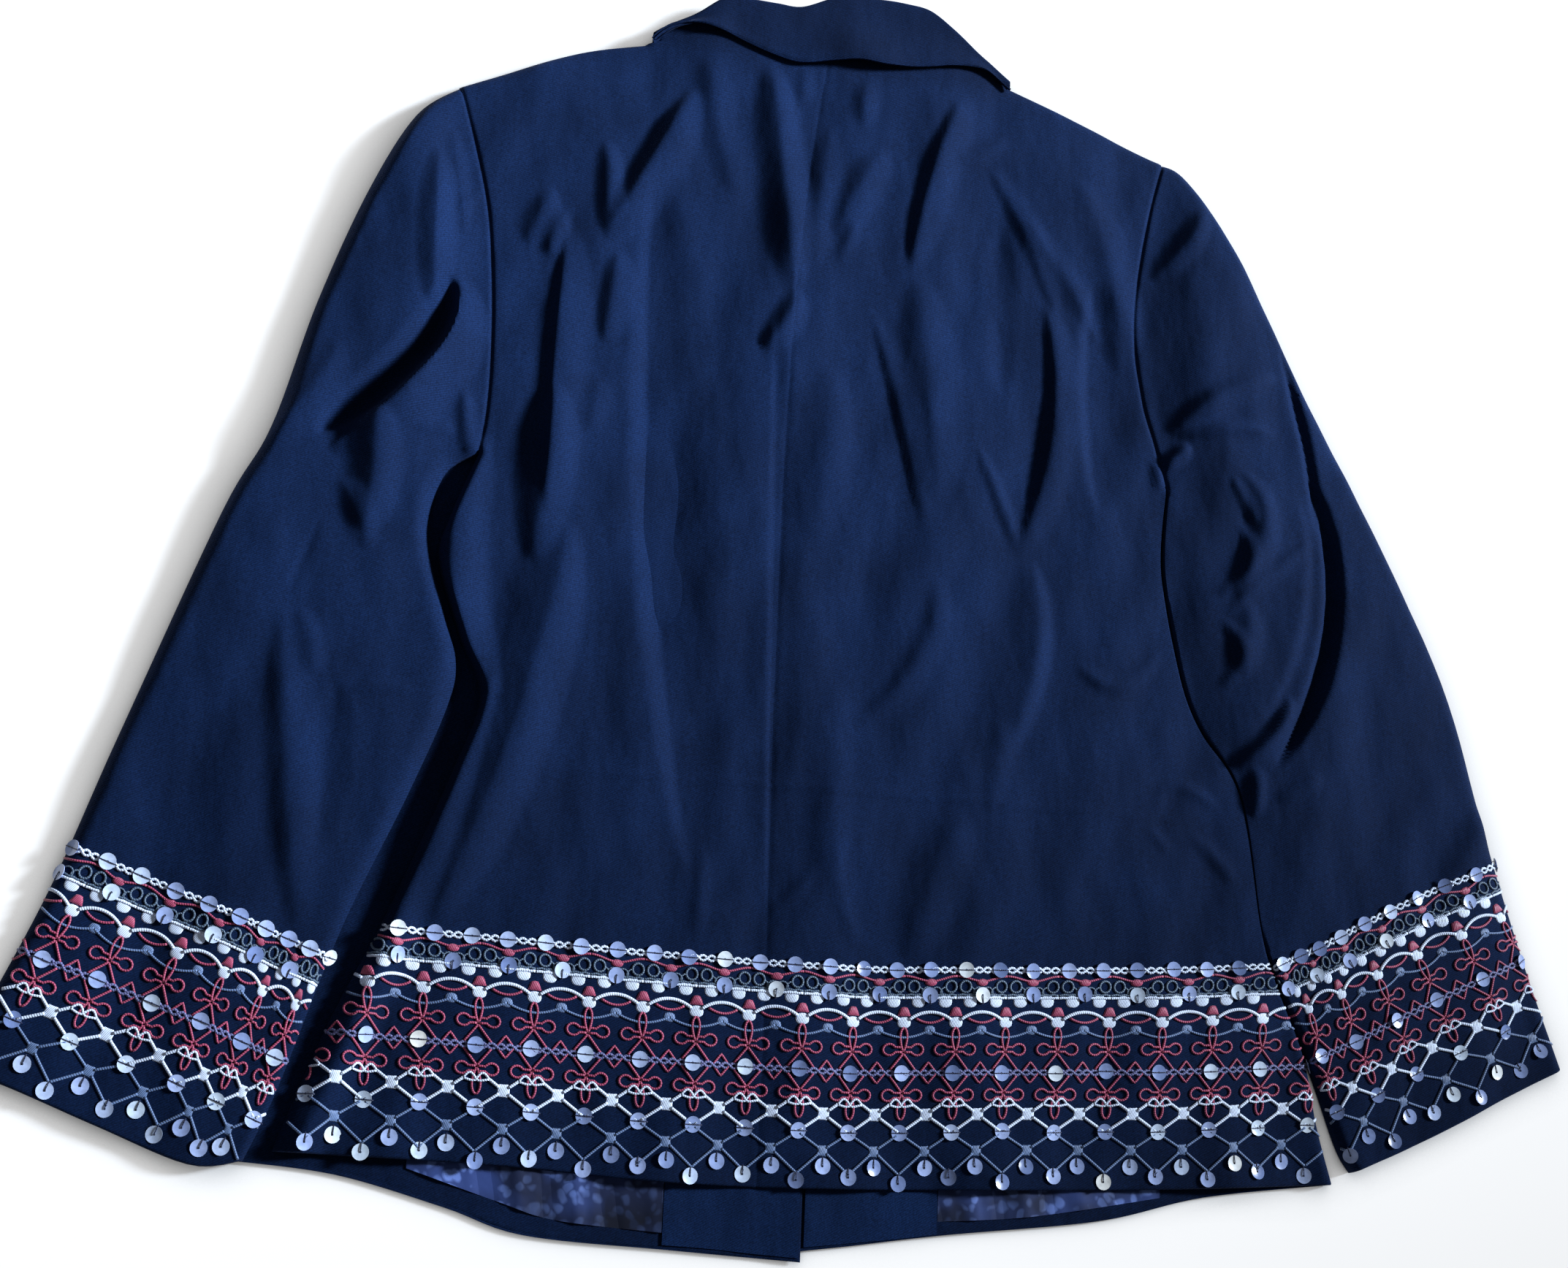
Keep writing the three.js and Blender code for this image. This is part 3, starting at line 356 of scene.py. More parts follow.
def y_on(name, x):
    return crossing(name, 0, x)


# ---- heights
def fold_rise(x, y):
    """What all folds add at each place."""
    rise = np.zeros(x.shape)
    for crest in CRESTS:
        near = (x > crest.low[0]) & (x < crest.high[0]) & (y > crest.low[1]) & (y < crest.high[1])
        if not near.any():
            continue
        distance, side, _, part = crest.nearest(x[near], y[near])
        strength = 1 - np.abs(2 * part - 1) ** 3
        taper = 0.3 + 0.7 * strength
        left = side < 0
        across = np.clip(distance / (np.where(left, crest.steep, crest.gentle) * taper), 0, 1)
        shape = np.where(left, (1 - across) ** 2 * (1 + across), (1 - across**2) ** 2)
        rise[near] += crest.rise * shape * strength
    return rise


# Soft unevenness between the folds: waves that run mostly up and down the cloth.
# Each has its length, turn, start and sway.
WAVES = [
    (length, random.uniform(-0.5, 0.5), random.uniform(0, 2 * math.pi), random.uniform(0.3, 0.9))
    for length in (26, 33, 41, 50, 62, 78, 95, 120)
]


def unevenness(x, y):
    total = np.zeros(x.shape)
    for length, turn, start, sway in WAVES:
        number = 2 * math.pi / length
        bend = sway * np.sin(y * number * 0.37 + start * 3)
        phase = (x * math.cos(turn) + y * math.sin(turn)) * number
        total += 0.006 * length * np.sin(phase + start + bend)
    return total


def neck_drop(x):
    return COLLAR_END_DROP * smooth(*NECK_END, np.abs(x - NECK_MIDDLE))


def body_base(x, y):
    low = mix(HEM_HEIGHT, BODY_HEIGHT, smooth(*HEM_RISE, y))
    return low + SHOULDER_RISE * smooth(*SHOULDER_SLOPE, y) - neck_drop(x) * smooth(*NECK_SLOPE, y)


def front_lift(side, x, y, spare=0):
    """How far a front is lifted where it lies on its lapel, or where the left one meets the right one."""
    to_edge = LINES[f"{side} front edge"].distance(x, y)
    across = 1 - smooth(LAPEL_BAND["inner"] + spare, LAPEL_BAND["outer"] + spare, to_edge)
    lift = LAPEL_RISE * across * smooth(LAPEL_BAND["foot"] - spare, LAPEL_BAND["top"] - spare, y)
    if side == "left" and not spare:
        lift += LAP_RISE * smooth(*LAP_ACROSS, to_edge) * smooth(*LAP_DOWN, y)
    return lift


def back_rest(side, x, y):
    return REST_ON_FRONT + front_lift(side, x, y, 10)


def under_sleeve_foot(side, x, y):
    """The left sleeve's under side rests on the flap of the front along its inner edge."""
    if side == "right":
        return np.zeros(x.shape)
    lapped = np.minimum(LINES["left sleeve inner"].distance(x, y), LINES["left armhole"].distance(x, y))
    return REST_ON_FRONT * smooth(*FLAP_ACROSS, lapped) * smooth(*FLAP_DOWN, y)


def rolled(rest, top, distance, radius):
    """A turned edge: a quarter of an ellipse from the rest height up to the surface."""
    inward = 1 - np.clip(distance / np.maximum(radius, 0.5), 0, 1)
    return rest + (top - rest) * np.sqrt(1 - inward**2)


def seam_groove(distance, depth=1.1, width=1.2):
    return depth * np.exp(-((distance / width) ** 2))


def hem_edge(top, distance):
    """The soft turned edge of a hem."""
    inward = 1 - np.clip(distance / HEM_RADIUS, 0, 1)
    return top - HEM_RADIUS * (1 - np.sqrt(1 - inward**2))


def back_top(side, x, y):
    top = body_base(x, y) + (fold_rise(x, y) + unevenness(x, y)) * smooth(*FOLDS_END, y)
    top -= seam_groove(LINES[f"{side} armhole"].distance(x, y))
    top -= seam_groove(LINES["centre back"].distance(x, y), 0.3, 1.5)
    to_hem = LINES[f"{side} hem"].distance(x, y)
    curl = (1 + np.sin(x * 0.058 + 0.4 + 0.8 * np.sin(x * 0.021))) / 2
    top += HEM_LIFT * curl * smooth(*HEM_CURL, to_hem)
    rest = back_rest(side, x, y)
    edge, _, roll, _ = LINES[f"{side} side"].nearest(x, y)
    at_side = rolled(rest, top, edge, roll)
    at_shoulder = rolled(rest, top, LINES[f"{side} shoulder"].distance(x, y), SHOULDER_ROLL)
    return hem_edge(np.minimum(at_side, at_shoulder), to_hem)


def sleeve_top(side, x, y):
    inner, _, inner_roll, _ = LINES[f"{side} sleeve inner"].nearest(x, y)
    outer, _, outer_roll, _ = LINES[f"{side} sleeve outer"].nearest(x, y)
    seam = LINES[f"{side} armhole"].distance(x, y)
    cuff = LINES[f"{side} cuff"].distance(x, y)
    inward = np.minimum(inner, seam)
    across = inward / (inward + outer + 0.01)
    beside_body = smooth(*BESIDE_BODY, inner) if side == "right" else 1.0
    dome = SLEEVE_RISE * smooth(*SLEEVE_FILL, cuff) * beside_body + SLEEVE_DOME * 4 * across * (1 - across)
    stand = body_base(x, y) + smooth(*BESIDE_SEAM, seam) * dome
    top = mix(CUFF_HEIGHT, stand, smooth(*CUFF_END, cuff)) + fold_rise(x, y) + unevenness(x, y)
    top -= seam_groove(seam)
    rest = under_sleeve_foot(side, x, y) + UNDER_SLEEVE_TOP
    at_inner = rolled(rest, top, inner, inner_roll)
    at_outer = rolled(rest, top, outer, outer_roll)
    return hem_edge(np.minimum(at_inner, at_outer), cuff)


# ---- nets and meshes
def net_between(left, right, top, bottom, columns, rows):
    """Places between four edges, as rows by columns. columns and rows are parts of the edges, 0 to 1."""
    u = np.asarray(columns)[None, :, None]
    v = np.asarray(rows)[:, None, None]
    across = left[:, None] * (1 - u) + right[:, None] * u
    above = top[None] - (top[0] * (1 - u) + top[-1] * u)
    below = bottom[None] - (bottom[0] * (1 - u) + bottom[-1] * u)
    return across + (1 - v) * above + v * below


def normals_of(net):
    """Unit normals of a net of points, pointing up on the whole."""
    along, across = np.gradient(net, axis=0), np.gradient(net, axis=1)
    normal = unit(np.cross(along, across))
    return normal if normal[..., 2].sum() > 0 else -normal


def shell_faces(rows, columns):
    """Quads of a closed shell: an upper net of points, then a lower one of the same size."""
    count = rows * columns
    index = np.arange(count).reshape(rows, columns)
    a, b, c, d = index[:-1, :-1], index[1:, :-1], index[1:, 1:], index[:-1, 1:]
    upper = np.stack([a, b, c, d], -1).reshape(-1, 4)
    lower = upper[:, ::-1] + count
    rim = np.concatenate([index[0, :], index[1:, -1], index[-1, -2::-1], index[-2:0:-1, 0]])
    after = np.roll(rim, -1)
    return np.vstack([upper, lower, np.stack([rim, after, after + count, rim + count], -1)])


def outwards(points, quads):
    """The quads turned so that the closed mesh has its faces outwards."""
    a, b, c, d = (points[quads[:, i]] for i in range(4))
    volume = (a * np.cross(b, c)).sum() + (a * np.cross(c, d)).sum()
    return quads if volume > 0 else quads[:, ::-1]


def add_object(name, data):
    added = bpy.data.objects.new(name, data)
    bpy.context.scene.collection.objects.link(added)
    return added


def mesh_piece(name, points, faces, material, sharp_angle=None):
    """A piece of the jacket from points in its millimetres."""
    mesh = bpy.data.meshes.new(name)
    mesh.from_pydata(to_metres(points).tolist(), [], faces.tolist() if hasattr(faces, "tolist") else faces)
    mesh.shade_smooth()
    if sharp_angle is not None:
        mesh.set_sharp_from_angle(angle=math.radians(sharp_angle))
    mesh.materials.append(material)
    piece = add_object(name, mesh)
    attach(piece, "root")
    return piece


def shell(name, upper, lower, material):
    points = np.vstack([upper.reshape(-1, 3), lower.reshape(-1, 3)])
    quads = outwards(points, shell_faces(*upper.shape[:2]))
    return mesh_piece(name, points, quads, material, sharp_angle=50)


def parts_from(near, length, pitch, both=False):
    """Parts of an edge: the near distances from its start, then even steps of about the pitch.
    With both, the near distances come at its end too."""
    near = np.asarray(near, float)
    far = length - near[-1] if both else length
    count = max(2, round((far - near[-1]) / pitch))
    middle = np.linspace(near[-1], far, count + 1)[1:]
    return np.concatenate([near, middle, (length - near[-2::-1]) if both else []]) / length


# ---- the nets' steps from an edge or hem inwards, their pitches beyond those, and the panels' usual sizes
EDGE_STEPS = (0, 0.5, 1.2, 2.1, 3.3, 4.8)
HEM_STEPS = (0, 0.25, 0.6, 1.0, 1.6, 2.6)
BODY_PITCH = 2.5
SLEEVE_PITCH = 2.1
UNDER_PITCH = 5.5
HALF_BACK, HALF_FRONT, SLEEVE_WIDTH = 260, 230, 140
SEAM_GAP = {"left": 0.02, "right": -0.02}  # from a seam to the body's cloth; the sleeve's is the other way


def with_height(net, height):
    return np.dstack([net, height(net[..., 0], net[..., 1])])


# ---- materials
class Look:
    """A material in the making: its nodes, its shader and the place on the jacket, in metres."""

    def __init__(self, name, **settings):
        self.material = bpy.data.materials.new(name)
        self.material.use_nodes = True
        self.nodes = self.material.node_tree.nodes
        self.shader = self.nodes["Principled BSDF"]
        self.set(self.shader, **settings)
        self.place = self.node("TexCoord").outputs["Object"]

    def put(self, socket, value):
        """Sets a socket to a number or colour, or links it to another node's output."""
        if isinstance(value, bpy.types.NodeSocket):
            self.material.node_tree.links.new(value, socket)
        else:
            socket.default_value = value

    def set(self, node, **values):
        """Sets sockets by their names, with an underscore for each space."""
        for name, value in values.items():
            self.put(node.inputs[name.replace("_", " ")], value)

    def node(self, kind, **values):
        node = self.nodes.new(f"ShaderNode{kind}")
        self.set(node, **values)
        return node

    def calculate(self, kind, operation, *values):
        """The result of a Math or VectorMath node."""
        node = self.nodes.new(f"ShaderNode{kind}")
        node.operation = operation
        for socket, value in zip(node.inputs, values):
            self.put(socket, value)
        return node.outputs[0]

    def math(self, operation, *values):
        return self.calculate("Math", operation, *values)

    def noise(self, scale, detail=2.0, roughness=0.5, vector=None):
        node = self.node("TexNoise", Vector=vector if vector else self.place)
        self.set(node, Scale=scale, Detail=detail, Roughness=roughness)
        return node.outputs["Fac"]

    def attribute(self, name):
        node = self.node("Attribute")
        node.attribute_name = name
        return node.outputs["Fac"]

    def up(self):
        """How far up the jacket a place is, in metres from the middle."""
        return self.node("SeparateXYZ", Vector=self.place).outputs["Y"]

    def ramp(self, source, *stops):
        """A colour ramp on a value. A stop is a position with a grey level or a colour."""
        node = self.node("ValToRGB", Fac=source)
        while len(node.color_ramp.elements) < len(stops):
            node.color_ramp.elements.new(0.5)
        for element, (position, colour) in zip(node.color_ramp.elements, stops):
            element.position = position
            element.color = (*(colour if isinstance(colour, tuple) else (colour,) * 3), 1)
        return node.outputs["Color"]

    def times(self, colour, *shades):
        """A colour multiplied by one shade after another."""
        for shade in shades:
            node = self.nodes.new("ShaderNodeMix")
            node.data_type = "RGBA"
            node.blend_type = "MULTIPLY"
            self.set(node, Factor=1.0, A=colour, B=shade)
            colour = node.outputs["Result"]
        return colour

    def bump(self, height, distance, strength):
        """Relief, on top of what relief the shader has already."""
        node = self.node("Bump", Height=height, Distance=distance, Strength=strength)
        normal = self.shader.inputs["Normal"]
        if normal.is_linked:
            self.put(node.inputs["Normal"], normal.links[0].from_socket)
        self.put(normal, node.outputs["Normal"])


def twill_cloth(name, base):
    """Matte wool-like cloth with a fine diagonal twill, soft mottling, small creases and painted shade
    towards the border.
    """
    slant = math.radians(62)
    look = Look(
        name, Roughness=0.85, Specular_IOR_Level=0.06, Sheen_Weight=0.03, Sheen_Roughness=0.5,
        Sheen_Tint=(0.35, 0.5, 1.0, 1),
    )
    turned = look.node("Mapping", Vector=look.place, Rotation=(0, 0, slant)).outputs["Vector"]
    twill = look.node("TexWave", Vector=turned, Scale=290, Distortion=1.6, Detail=1.0, Detail_Scale=2.0)
    twill = twill.outputs["Fac"]
    grain = look.noise(1000)
    tone = look.ramp(look.noise(22, 3, 0.55), (0.3, 0.82), (0.7, 1.16))
    lines = look.ramp(twill, (0.0, 0.8), (1.0, 1.16))
    specks = look.ramp(grain, (0.3, 0.66), (0.7, 1.34))
    # painted shade: the cloth is darker towards the border, where the light falls off; it is darker on the
    # collar too
    from_border = look.math("ADD", look.up(), 0.32)
    depth = look.ramp(from_border, (0.0, 0.66), (0.45, 1.0), (0.632, 1.0), (0.645, 0.72))
    look.set(look.shader, Base_Color=look.times((*base, 1), tone, lines, specks, depth))
    # the creases are longer down the cloth than across it
    stretched = look.node("Mapping", Vector=look.place, Scale=(1.0, 0.45, 1.0), Rotation=(0, 0, 0.12))
    look.bump(look.noise(55, vector=stretched.outputs["Vector"]), 0.004, 0.35)
    look.bump(look.math("ADD", twill, look.math("MULTIPLY", grain, 0.7)), 0.0002, 0.5)
    return look.material


def satin_lining():
    """Slate-blue jacquard satin: a woven figure of blots that shines against a duller ground."""
    look = Look("jacquard satin", Roughness=0.5, Specular_IOR_Level=0.15, Sheen_Weight=0.05)
    drift = look.node("TexNoise", Vector=look.place, Scale=70).outputs["Color"]
    wobble = look.calculate("VectorMath", "MULTIPLY_ADD", drift, (0.012, 0.012, 0.012), look.place)
    cells = look.node("TexVoronoi", Vector=wobble, Scale=150, Randomness=0.9).outputs["Distance"]
    figure = look.ramp(cells, (0.3, (0.11, 0.175, 0.45)), (0.5, (0.026, 0.048, 0.165)))
    threads = look.node("TexWave", Vector=look.place, Scale=800).outputs["Fac"]
    lines = look.ramp(threads, (0.0, 0.85), (1.0, 1.1))
    # painted shade and painted sheen: large soft darker and lighter patches for the light on the lining's
    # ripples
    folds = look.ramp(look.noise(34), (0.4, 0.3), (0.6, 1.35))
    # painted shade: darker towards the fold at its foot
    dim = look.ramp(look.math("MULTIPLY_ADD", look.up(), 40.0, 14.08), (0.1, 0.3), (0.65, 1.0))
    shine = look.ramp(cells, (0.3, 0.42), (0.5, 0.62))
    look.set(look.shader, Base_Color=look.times(figure, lines, folds, dim), Roughness=shine)
    look.bump(threads, 0.0001, 0.3)
    return look.material


def twisted_thread(name, base, painted_groove_shade=0.62):
    """Embroidery thread: fine cords that slant across it, from its attribute along, in millimetres, with
    painted shade between them.
    """
    look = Look(name, Roughness=0.5, Specular_IOR_Level=0.4, Sheen_Weight=0.25, Sheen_Roughness=0.4)
    twist = look.math("MULTIPLY", look.attribute("along"), 5.2)
    wave = look.math("SINE", twist)
    # painted shade: the thread is darker in the grooves between its cords
    cords = look.ramp(look.math("MULTIPLY_ADD", wave, 0.5, 0.5), (0, painted_groove_shade), (0.55, 1.06))
    patches = look.ramp(look.noise(60), (0.3, 0.84), (0.7, 1.12))
    look.set(look.shader, Base_Color=look.times((*base, 1), cords, patches))
    look.bump(look.math("ADD", wave, look.noise(1500)), 0.00012, 0.5)
    return look.material


def sequin_plastic():
    """Thin pearly plastic. Each sequin has its own brightness in an attribute: partly its own tone and partly
    painted reflection, up to painted warm-white glints.
    """
    look = Look("pearl sequin", Roughness=0.24, Specular_IOR_Level=0.6, Coat_Weight=0.5, Coat_Roughness=0.12)
    # painted reflection: brighter sequins are painted lighter for the light they reflect, and the top of the
    # ramp is a painted glint
    tone = look.ramp(
        look.attribute("tone_and_painted_sheen"), (0.0, (0.045, 0.07, 0.15)), (0.42, (0.19, 0.265, 0.52)),
        (0.72, (0.44, 0.55, 0.9)), (0.93, (0.7, 0.83, 1.0)), (1.0, (1.0, 1.0, 0.95)),
    )
    cloud = look.ramp(look.noise(260), (0.3, 0.8), (0.7, 1.12))
    look.set(look.shader, Base_Color=look.times(tone, cloud))
    look.bump(look.noise(420, 1), 0.0002, 0.25)
    return look.material


def pale_floor():
    look = Look("pale floor", Roughness=0.9, Specular_IOR_Level=0.2, Emission_Color=(1, 1, 1, 1))
    # painted light and painted shade: the floor glows so that it stays pale, as on a lit table, and the glow
    # fades where the floor is covered
    open_sky = look.node("AmbientOcclusion", Distance=0.02)
    open_sky.samples = 6
    glow_and_painted_shade = look.math("MULTIPLY", look.math("POWER", open_sky.outputs["AO"], 2.0), 0.68)
    tone = look.ramp(look.noise(3), (0.3, 0.4), (0.7, 0.42))
    look.set(look.shader, Base_Color=tone, Emission_Strength=glow_and_painted_shade)
    look.material.cycles.emission_sampling = "NONE"
    return look.material


NAVY = twill_cloth("navy twill", (0.0037, 0.0136, 0.052))
# painted light: a lighter copy of the same navy twill for the facings
NAVY_FACING_PAINTED_LIGHTER = twill_cloth("navy twill facing painted lighter", (0.0065, 0.024, 0.09))
# painted shade: a slightly darker copy of the same navy twill for the under sleeves
NAVY_UNDER_PAINTED_DARKER = twill_cloth("navy twill under side painted darker", (0.0036, 0.0125, 0.05))
LINING = satin_lining()
THREADS = {
    "white": twisted_thread("white thread", (0.7, 0.8, 1.0), 0.78),
    "crimson": twisted_thread("crimson thread", (0.4, 0.06, 0.13)),
    "purple": twisted_thread("purple-grey thread", (0.14, 0.15, 0.33)),
    "blue": twisted_thread("blue-grey thread", (0.12, 0.19, 0.36)),
    "teal": twisted_thread("grey-teal thread", (0.095, 0.145, 0.215)),
    "navy": twisted_thread("navy thread", (0.008, 0.014, 0.06)),
}
SEQUIN = sequin_plastic()


# ---- the cloth panels
def cloth_piece(node, upper, lower, material):
    """A piece of the cut as a closed shell that stands for its CAD node."""
    piece = shell(f"{node}_cloth", upper, lower, material)
    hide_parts(node)


def plan_area(net):
    """Area of a net seen from above, in square metres."""
    a = net[1:, 1:, :2] - net[:-1, :-1, :2]
    b = net[1:, :-1, :2] - net[:-1, 1:, :2]
    return np.abs(a[..., 0] * b[..., 1] - a[..., 1] * b[..., 0]).sum() / 2 / 1e6


def down_armhole(side, below, near, pitch, share, gap):
    """The edge down the armhole, off its seam by the gap, and on down the line below it. With its points come
    the rows, as parts of the whole edge, of which the armhole takes a share, and the armhole's own count."""
    armhole, below = LINES[f"{side} armhole"], LINES[f"{side} {below}"]
    upper = parts_from(near, armhole.length, pitch)
    lower = 1 - parts_from(HEM_STEPS, below.length, pitch)[::-1]
    points = np.vstack([armhole.at(upper) + [gap, 0], below.at(lower)[1:]])
    return points, np.concatenate([upper * share, mix(share, 1, lower[1:])]), upper.size


def back_net(side):
    gap = SEAM_GAP[side]
    armhole_share = 0.41  # the part of the centre back that is level with the armhole
    outer, rows, count = down_armhole(side, "side", EDGE_STEPS, BODY_PITCH, armhole_share, gap)
    centre = LINES["centre back"]
    upper = parts_from(EDGE_STEPS, centre.length * armhole_share, BODY_PITCH)
    upper = np.interp(np.linspace(0, 1, count), np.linspace(0, 1, upper.size), upper)
    rows[:count] = upper * armhole_share
    columns = parts_from(EDGE_STEPS, HALF_BACK, BODY_PITCH, both=True)
    shoulder, neck = LINES[f"{side} shoulder"], LINES[f"{side} neck"]
    share = shoulder.length / (shoulder.length + neck.length)
    on_neck = neck.at((columns - share) / (1 - share))
    top = np.where((columns < share)[:, None], shoulder.at(columns / share), on_neck)
    middle, bottom = centre.at(rows) - [gap, 0], LINES[f"{side} hem"].at(columns)
    return net_between(outer, middle, top, bottom, columns, rows)


def sleeve_net(side, pitch, inset=0):
    near = (0, 0.4, 1.0, 1.8, 2.8, 4.2, 6) if pitch < UNDER_PITCH else (0, 3)
    columns = parts_from(near, SLEEVE_WIDTH, pitch, both=True)
    inner, rows, _ = down_armhole(side, "sleeve inner", EDGE_STEPS, pitch, 0.36, -SEAM_GAP[side])
    outer = LINES[f"{side} sleeve outer"]
    outer = outer.at(mix((CAP_START + inset) / outer.length, 1, rows))
    top = mix(inner[0], outer[0], columns[:, None])
    return net_between(inner, outer, top, LINES[f"{side} cuff"].at(columns), columns, rows)


def front_net(side):
    outer, rows, _ = down_armhole(side, "front side", (0, 3), UNDER_PITCH, 0.4, SEAM_GAP[side])
    edge = LINES[f"{side} front edge"].at(rows)
    columns = parts_from((0, 0.5, 1.2, 3), HALF_FRONT, UNDER_PITCH, both=True)
    top = LINES[f"{side} shoulder"].at(columns)
    hem = LINES[f"{side} front hem"].at(columns)
    if side == "right":
        edge[:, 0] -= LAP * smooth(*LAP_DOWN, edge[:, 1])
        hem[:, 0] -= LAP * smooth(0.9, 1, columns)
    return net_between(outer, edge, top, hem, columns, rows)


def under_side(upper, seams, floor):
    """The lower face of a cloth, upright under its seams and never below the floor that it lies on."""
    to_seam = np.min([LINES[name].distance(upper[..., 0], upper[..., 1]) for name in seams], axis=0)
    upright = np.clip(to_seam / 6, 0, 1)[..., None]
    lower = upper - (normals_of(upper) * upright + np.array([0, 0, 1]) * (1 - upright)) * CLOTH
    lower[..., 2] = np.maximum(lower[..., 2], np.minimum(floor, upper[..., 2] - 0.1))
    return lower


def back_half(side):
    upper = with_height(back_net(side), lambda x, y: back_top(side, x, y))
    floor = REST_ON_FRONT - 0.1 + front_lift(side, upper[..., 0], upper[..., 1])
    lower = under_side(upper, [f"{side} armhole", "centre back", f"{side} neck", f"{side} hem"], floor)
    cloth_piece(f"back_{side}", upper, lower, NAVY)


def top_sleeve(side):
    upper = with_height(sleeve_net(side, SLEEVE_PITCH), lambda x, y: sleeve_top(side, x, y))
    floor = under_sleeve_foot(side, upper[..., 0], upper[..., 1]) + UNDER_SLEEVE_TOP
    lower = under_side(upper, [f"{side} armhole", f"{side} cuff"], floor)
    node, area, rests_on = f"sleeve_{side}_top", plan_area(upper) * 1.12, [f"sleeve_{side}_under_cloth"]
    cloth_piece(node, upper, lower, NAVY)


def under_sleeve(side):
    net = sleeve_net(side, UNDER_PITCH, inset=2)
    low = with_height(net, lambda x, y: under_sleeve_foot(side, x, y))
    lower, upper = low + [0, 0, 1.0], low + [0, 0, UNDER_SLEEVE_TOP - 0.2]
    cloth_piece(f"sleeve_{side}_under", upper, lower, NAVY_UNDER_PAINTED_DARKER)


def front(side):
    net = front_net(side)
    x, y = net[..., 0], net[..., 1]
    base = FLOOR_GAP + front_lift(side, x, y)
    edges = LINES[f"{side} front hem"], LINES[f"{side} front edge"]
    to_edge = np.min([line.distance(x, y) for line in edges], axis=0)
    turned = 0.5 * (1 - np.sqrt(1 - (1 - np.clip(to_edge / 0.9, 0, 1)) ** 2))
    upper = np.dstack([net, base + FRONT_CLOTH - turned])
    lower = np.dstack([net, base + turned * 0.6])
    cloth_piece(f"front_{side}", upper, lower, NAVY)


# ---- the inside strips that show under the back's hem, each from its lower edge up to INSIDE_TOP
INSIDE_TOP = 24
INSIDE_RISE = {"lining": 0.75, "facing": 0.8}
STRIPS = {
    "lining_left": [(-196, -5), (-150, -19), (-120, -27), (-66, -31)],
    "facing_left": [(-65.4, -37), (-40, -38), (-20, -39.5), (5.5, -41)],
    "facing_right": [(8.6, -35.5), (30, -33), (55, -30), (80, -26.5)],
    "lining_right": [(80.6, -20), (120, -17), (155, -12), (205, -3)],
}

# ---- the lapels and collar ends under the fronts: two edges and the flat size of each
UNDERSIDE = {
    "lapel_left": (
        [(-163, 566), (-122, 478), (-62, 400), (0, 345)], [(-94, 590), (-66, 514), (-36, 434), (2, 349)],
        (110, 290),
    ),
    "lapel_right": (
        [(166, 576), (126, 484), (66, 400), (6, 345)], [(96, 596), (68, 514), (40, 434), (4, 349)],
        (110, 290),
    ),
    "collar_end_left": (
        [(-166, 582), (-160, 600), (-154, 618)], [(-96, 598), (-102, 616), (-108, 632)], (75, 45),
    ),
    "collar_end_right": ([(169, 592), (163, 611), (156, 630)], [(98, 605), (104, 624), (110, 642)], (75, 45)),
}


def strip_net(low, high, pitch):
    low, high = Line(low), Line(high)
    near = (0, 0.6, 1.4)
    columns = parts_from(near, max(low.length, high.length), pitch, both=True)
    top, bottom = high.at(columns), low.at(columns)
    rows = parts_from(near, np.hypot(*(top[0] - bottom[0])), pitch, both=True)
    left, right = mix(top[0], bottom[0], rows[:, None]), mix(top[-1], bottom[-1], rows[:, None])
    return net_between(left, right, top, bottom, columns, rows)


def inside_strip(name, low):
    kind, side = name.split("_")
    net = strip_net(low, [(x, INSIDE_TOP) for x, _ in low], 3.0)
    x, y = net[..., 0], net[..., 1]
    # the lining is loose, so it ripples, and puckers along its fold at the foot
    fold = 1.1 * np.sin(x * 0.16 + y * 0.03 + 1.4 * np.sin(x * 0.05)) ** 3 + 0.12 * np.sin(x * 0.83 + y * 0.1)
    ripple = fold * (1 if kind == "lining" else 0.25)
    base = FLOOR_GAP + FRONT_CLOTH + front_lift(side, x, y)
    upper = np.dstack([net, base + INSIDE_RISE[kind] + ripple])
    lower = np.dstack([net, base + 0.05])
    material, slot = (LINING, "lining") if kind == "lining" else (NAVY_FACING_PAINTED_LIGHTER, "navy_cloth")
    cloth_piece(name, upper, lower, material)


def underside_piece(name, low, high):
    net = strip_net(low, high, 5.0)
    low = np.dstack([net, np.full(net.shape[:2], 0.25)])
    cloth_piece(name, low + [0, 0, 1.2], low, NAVY)


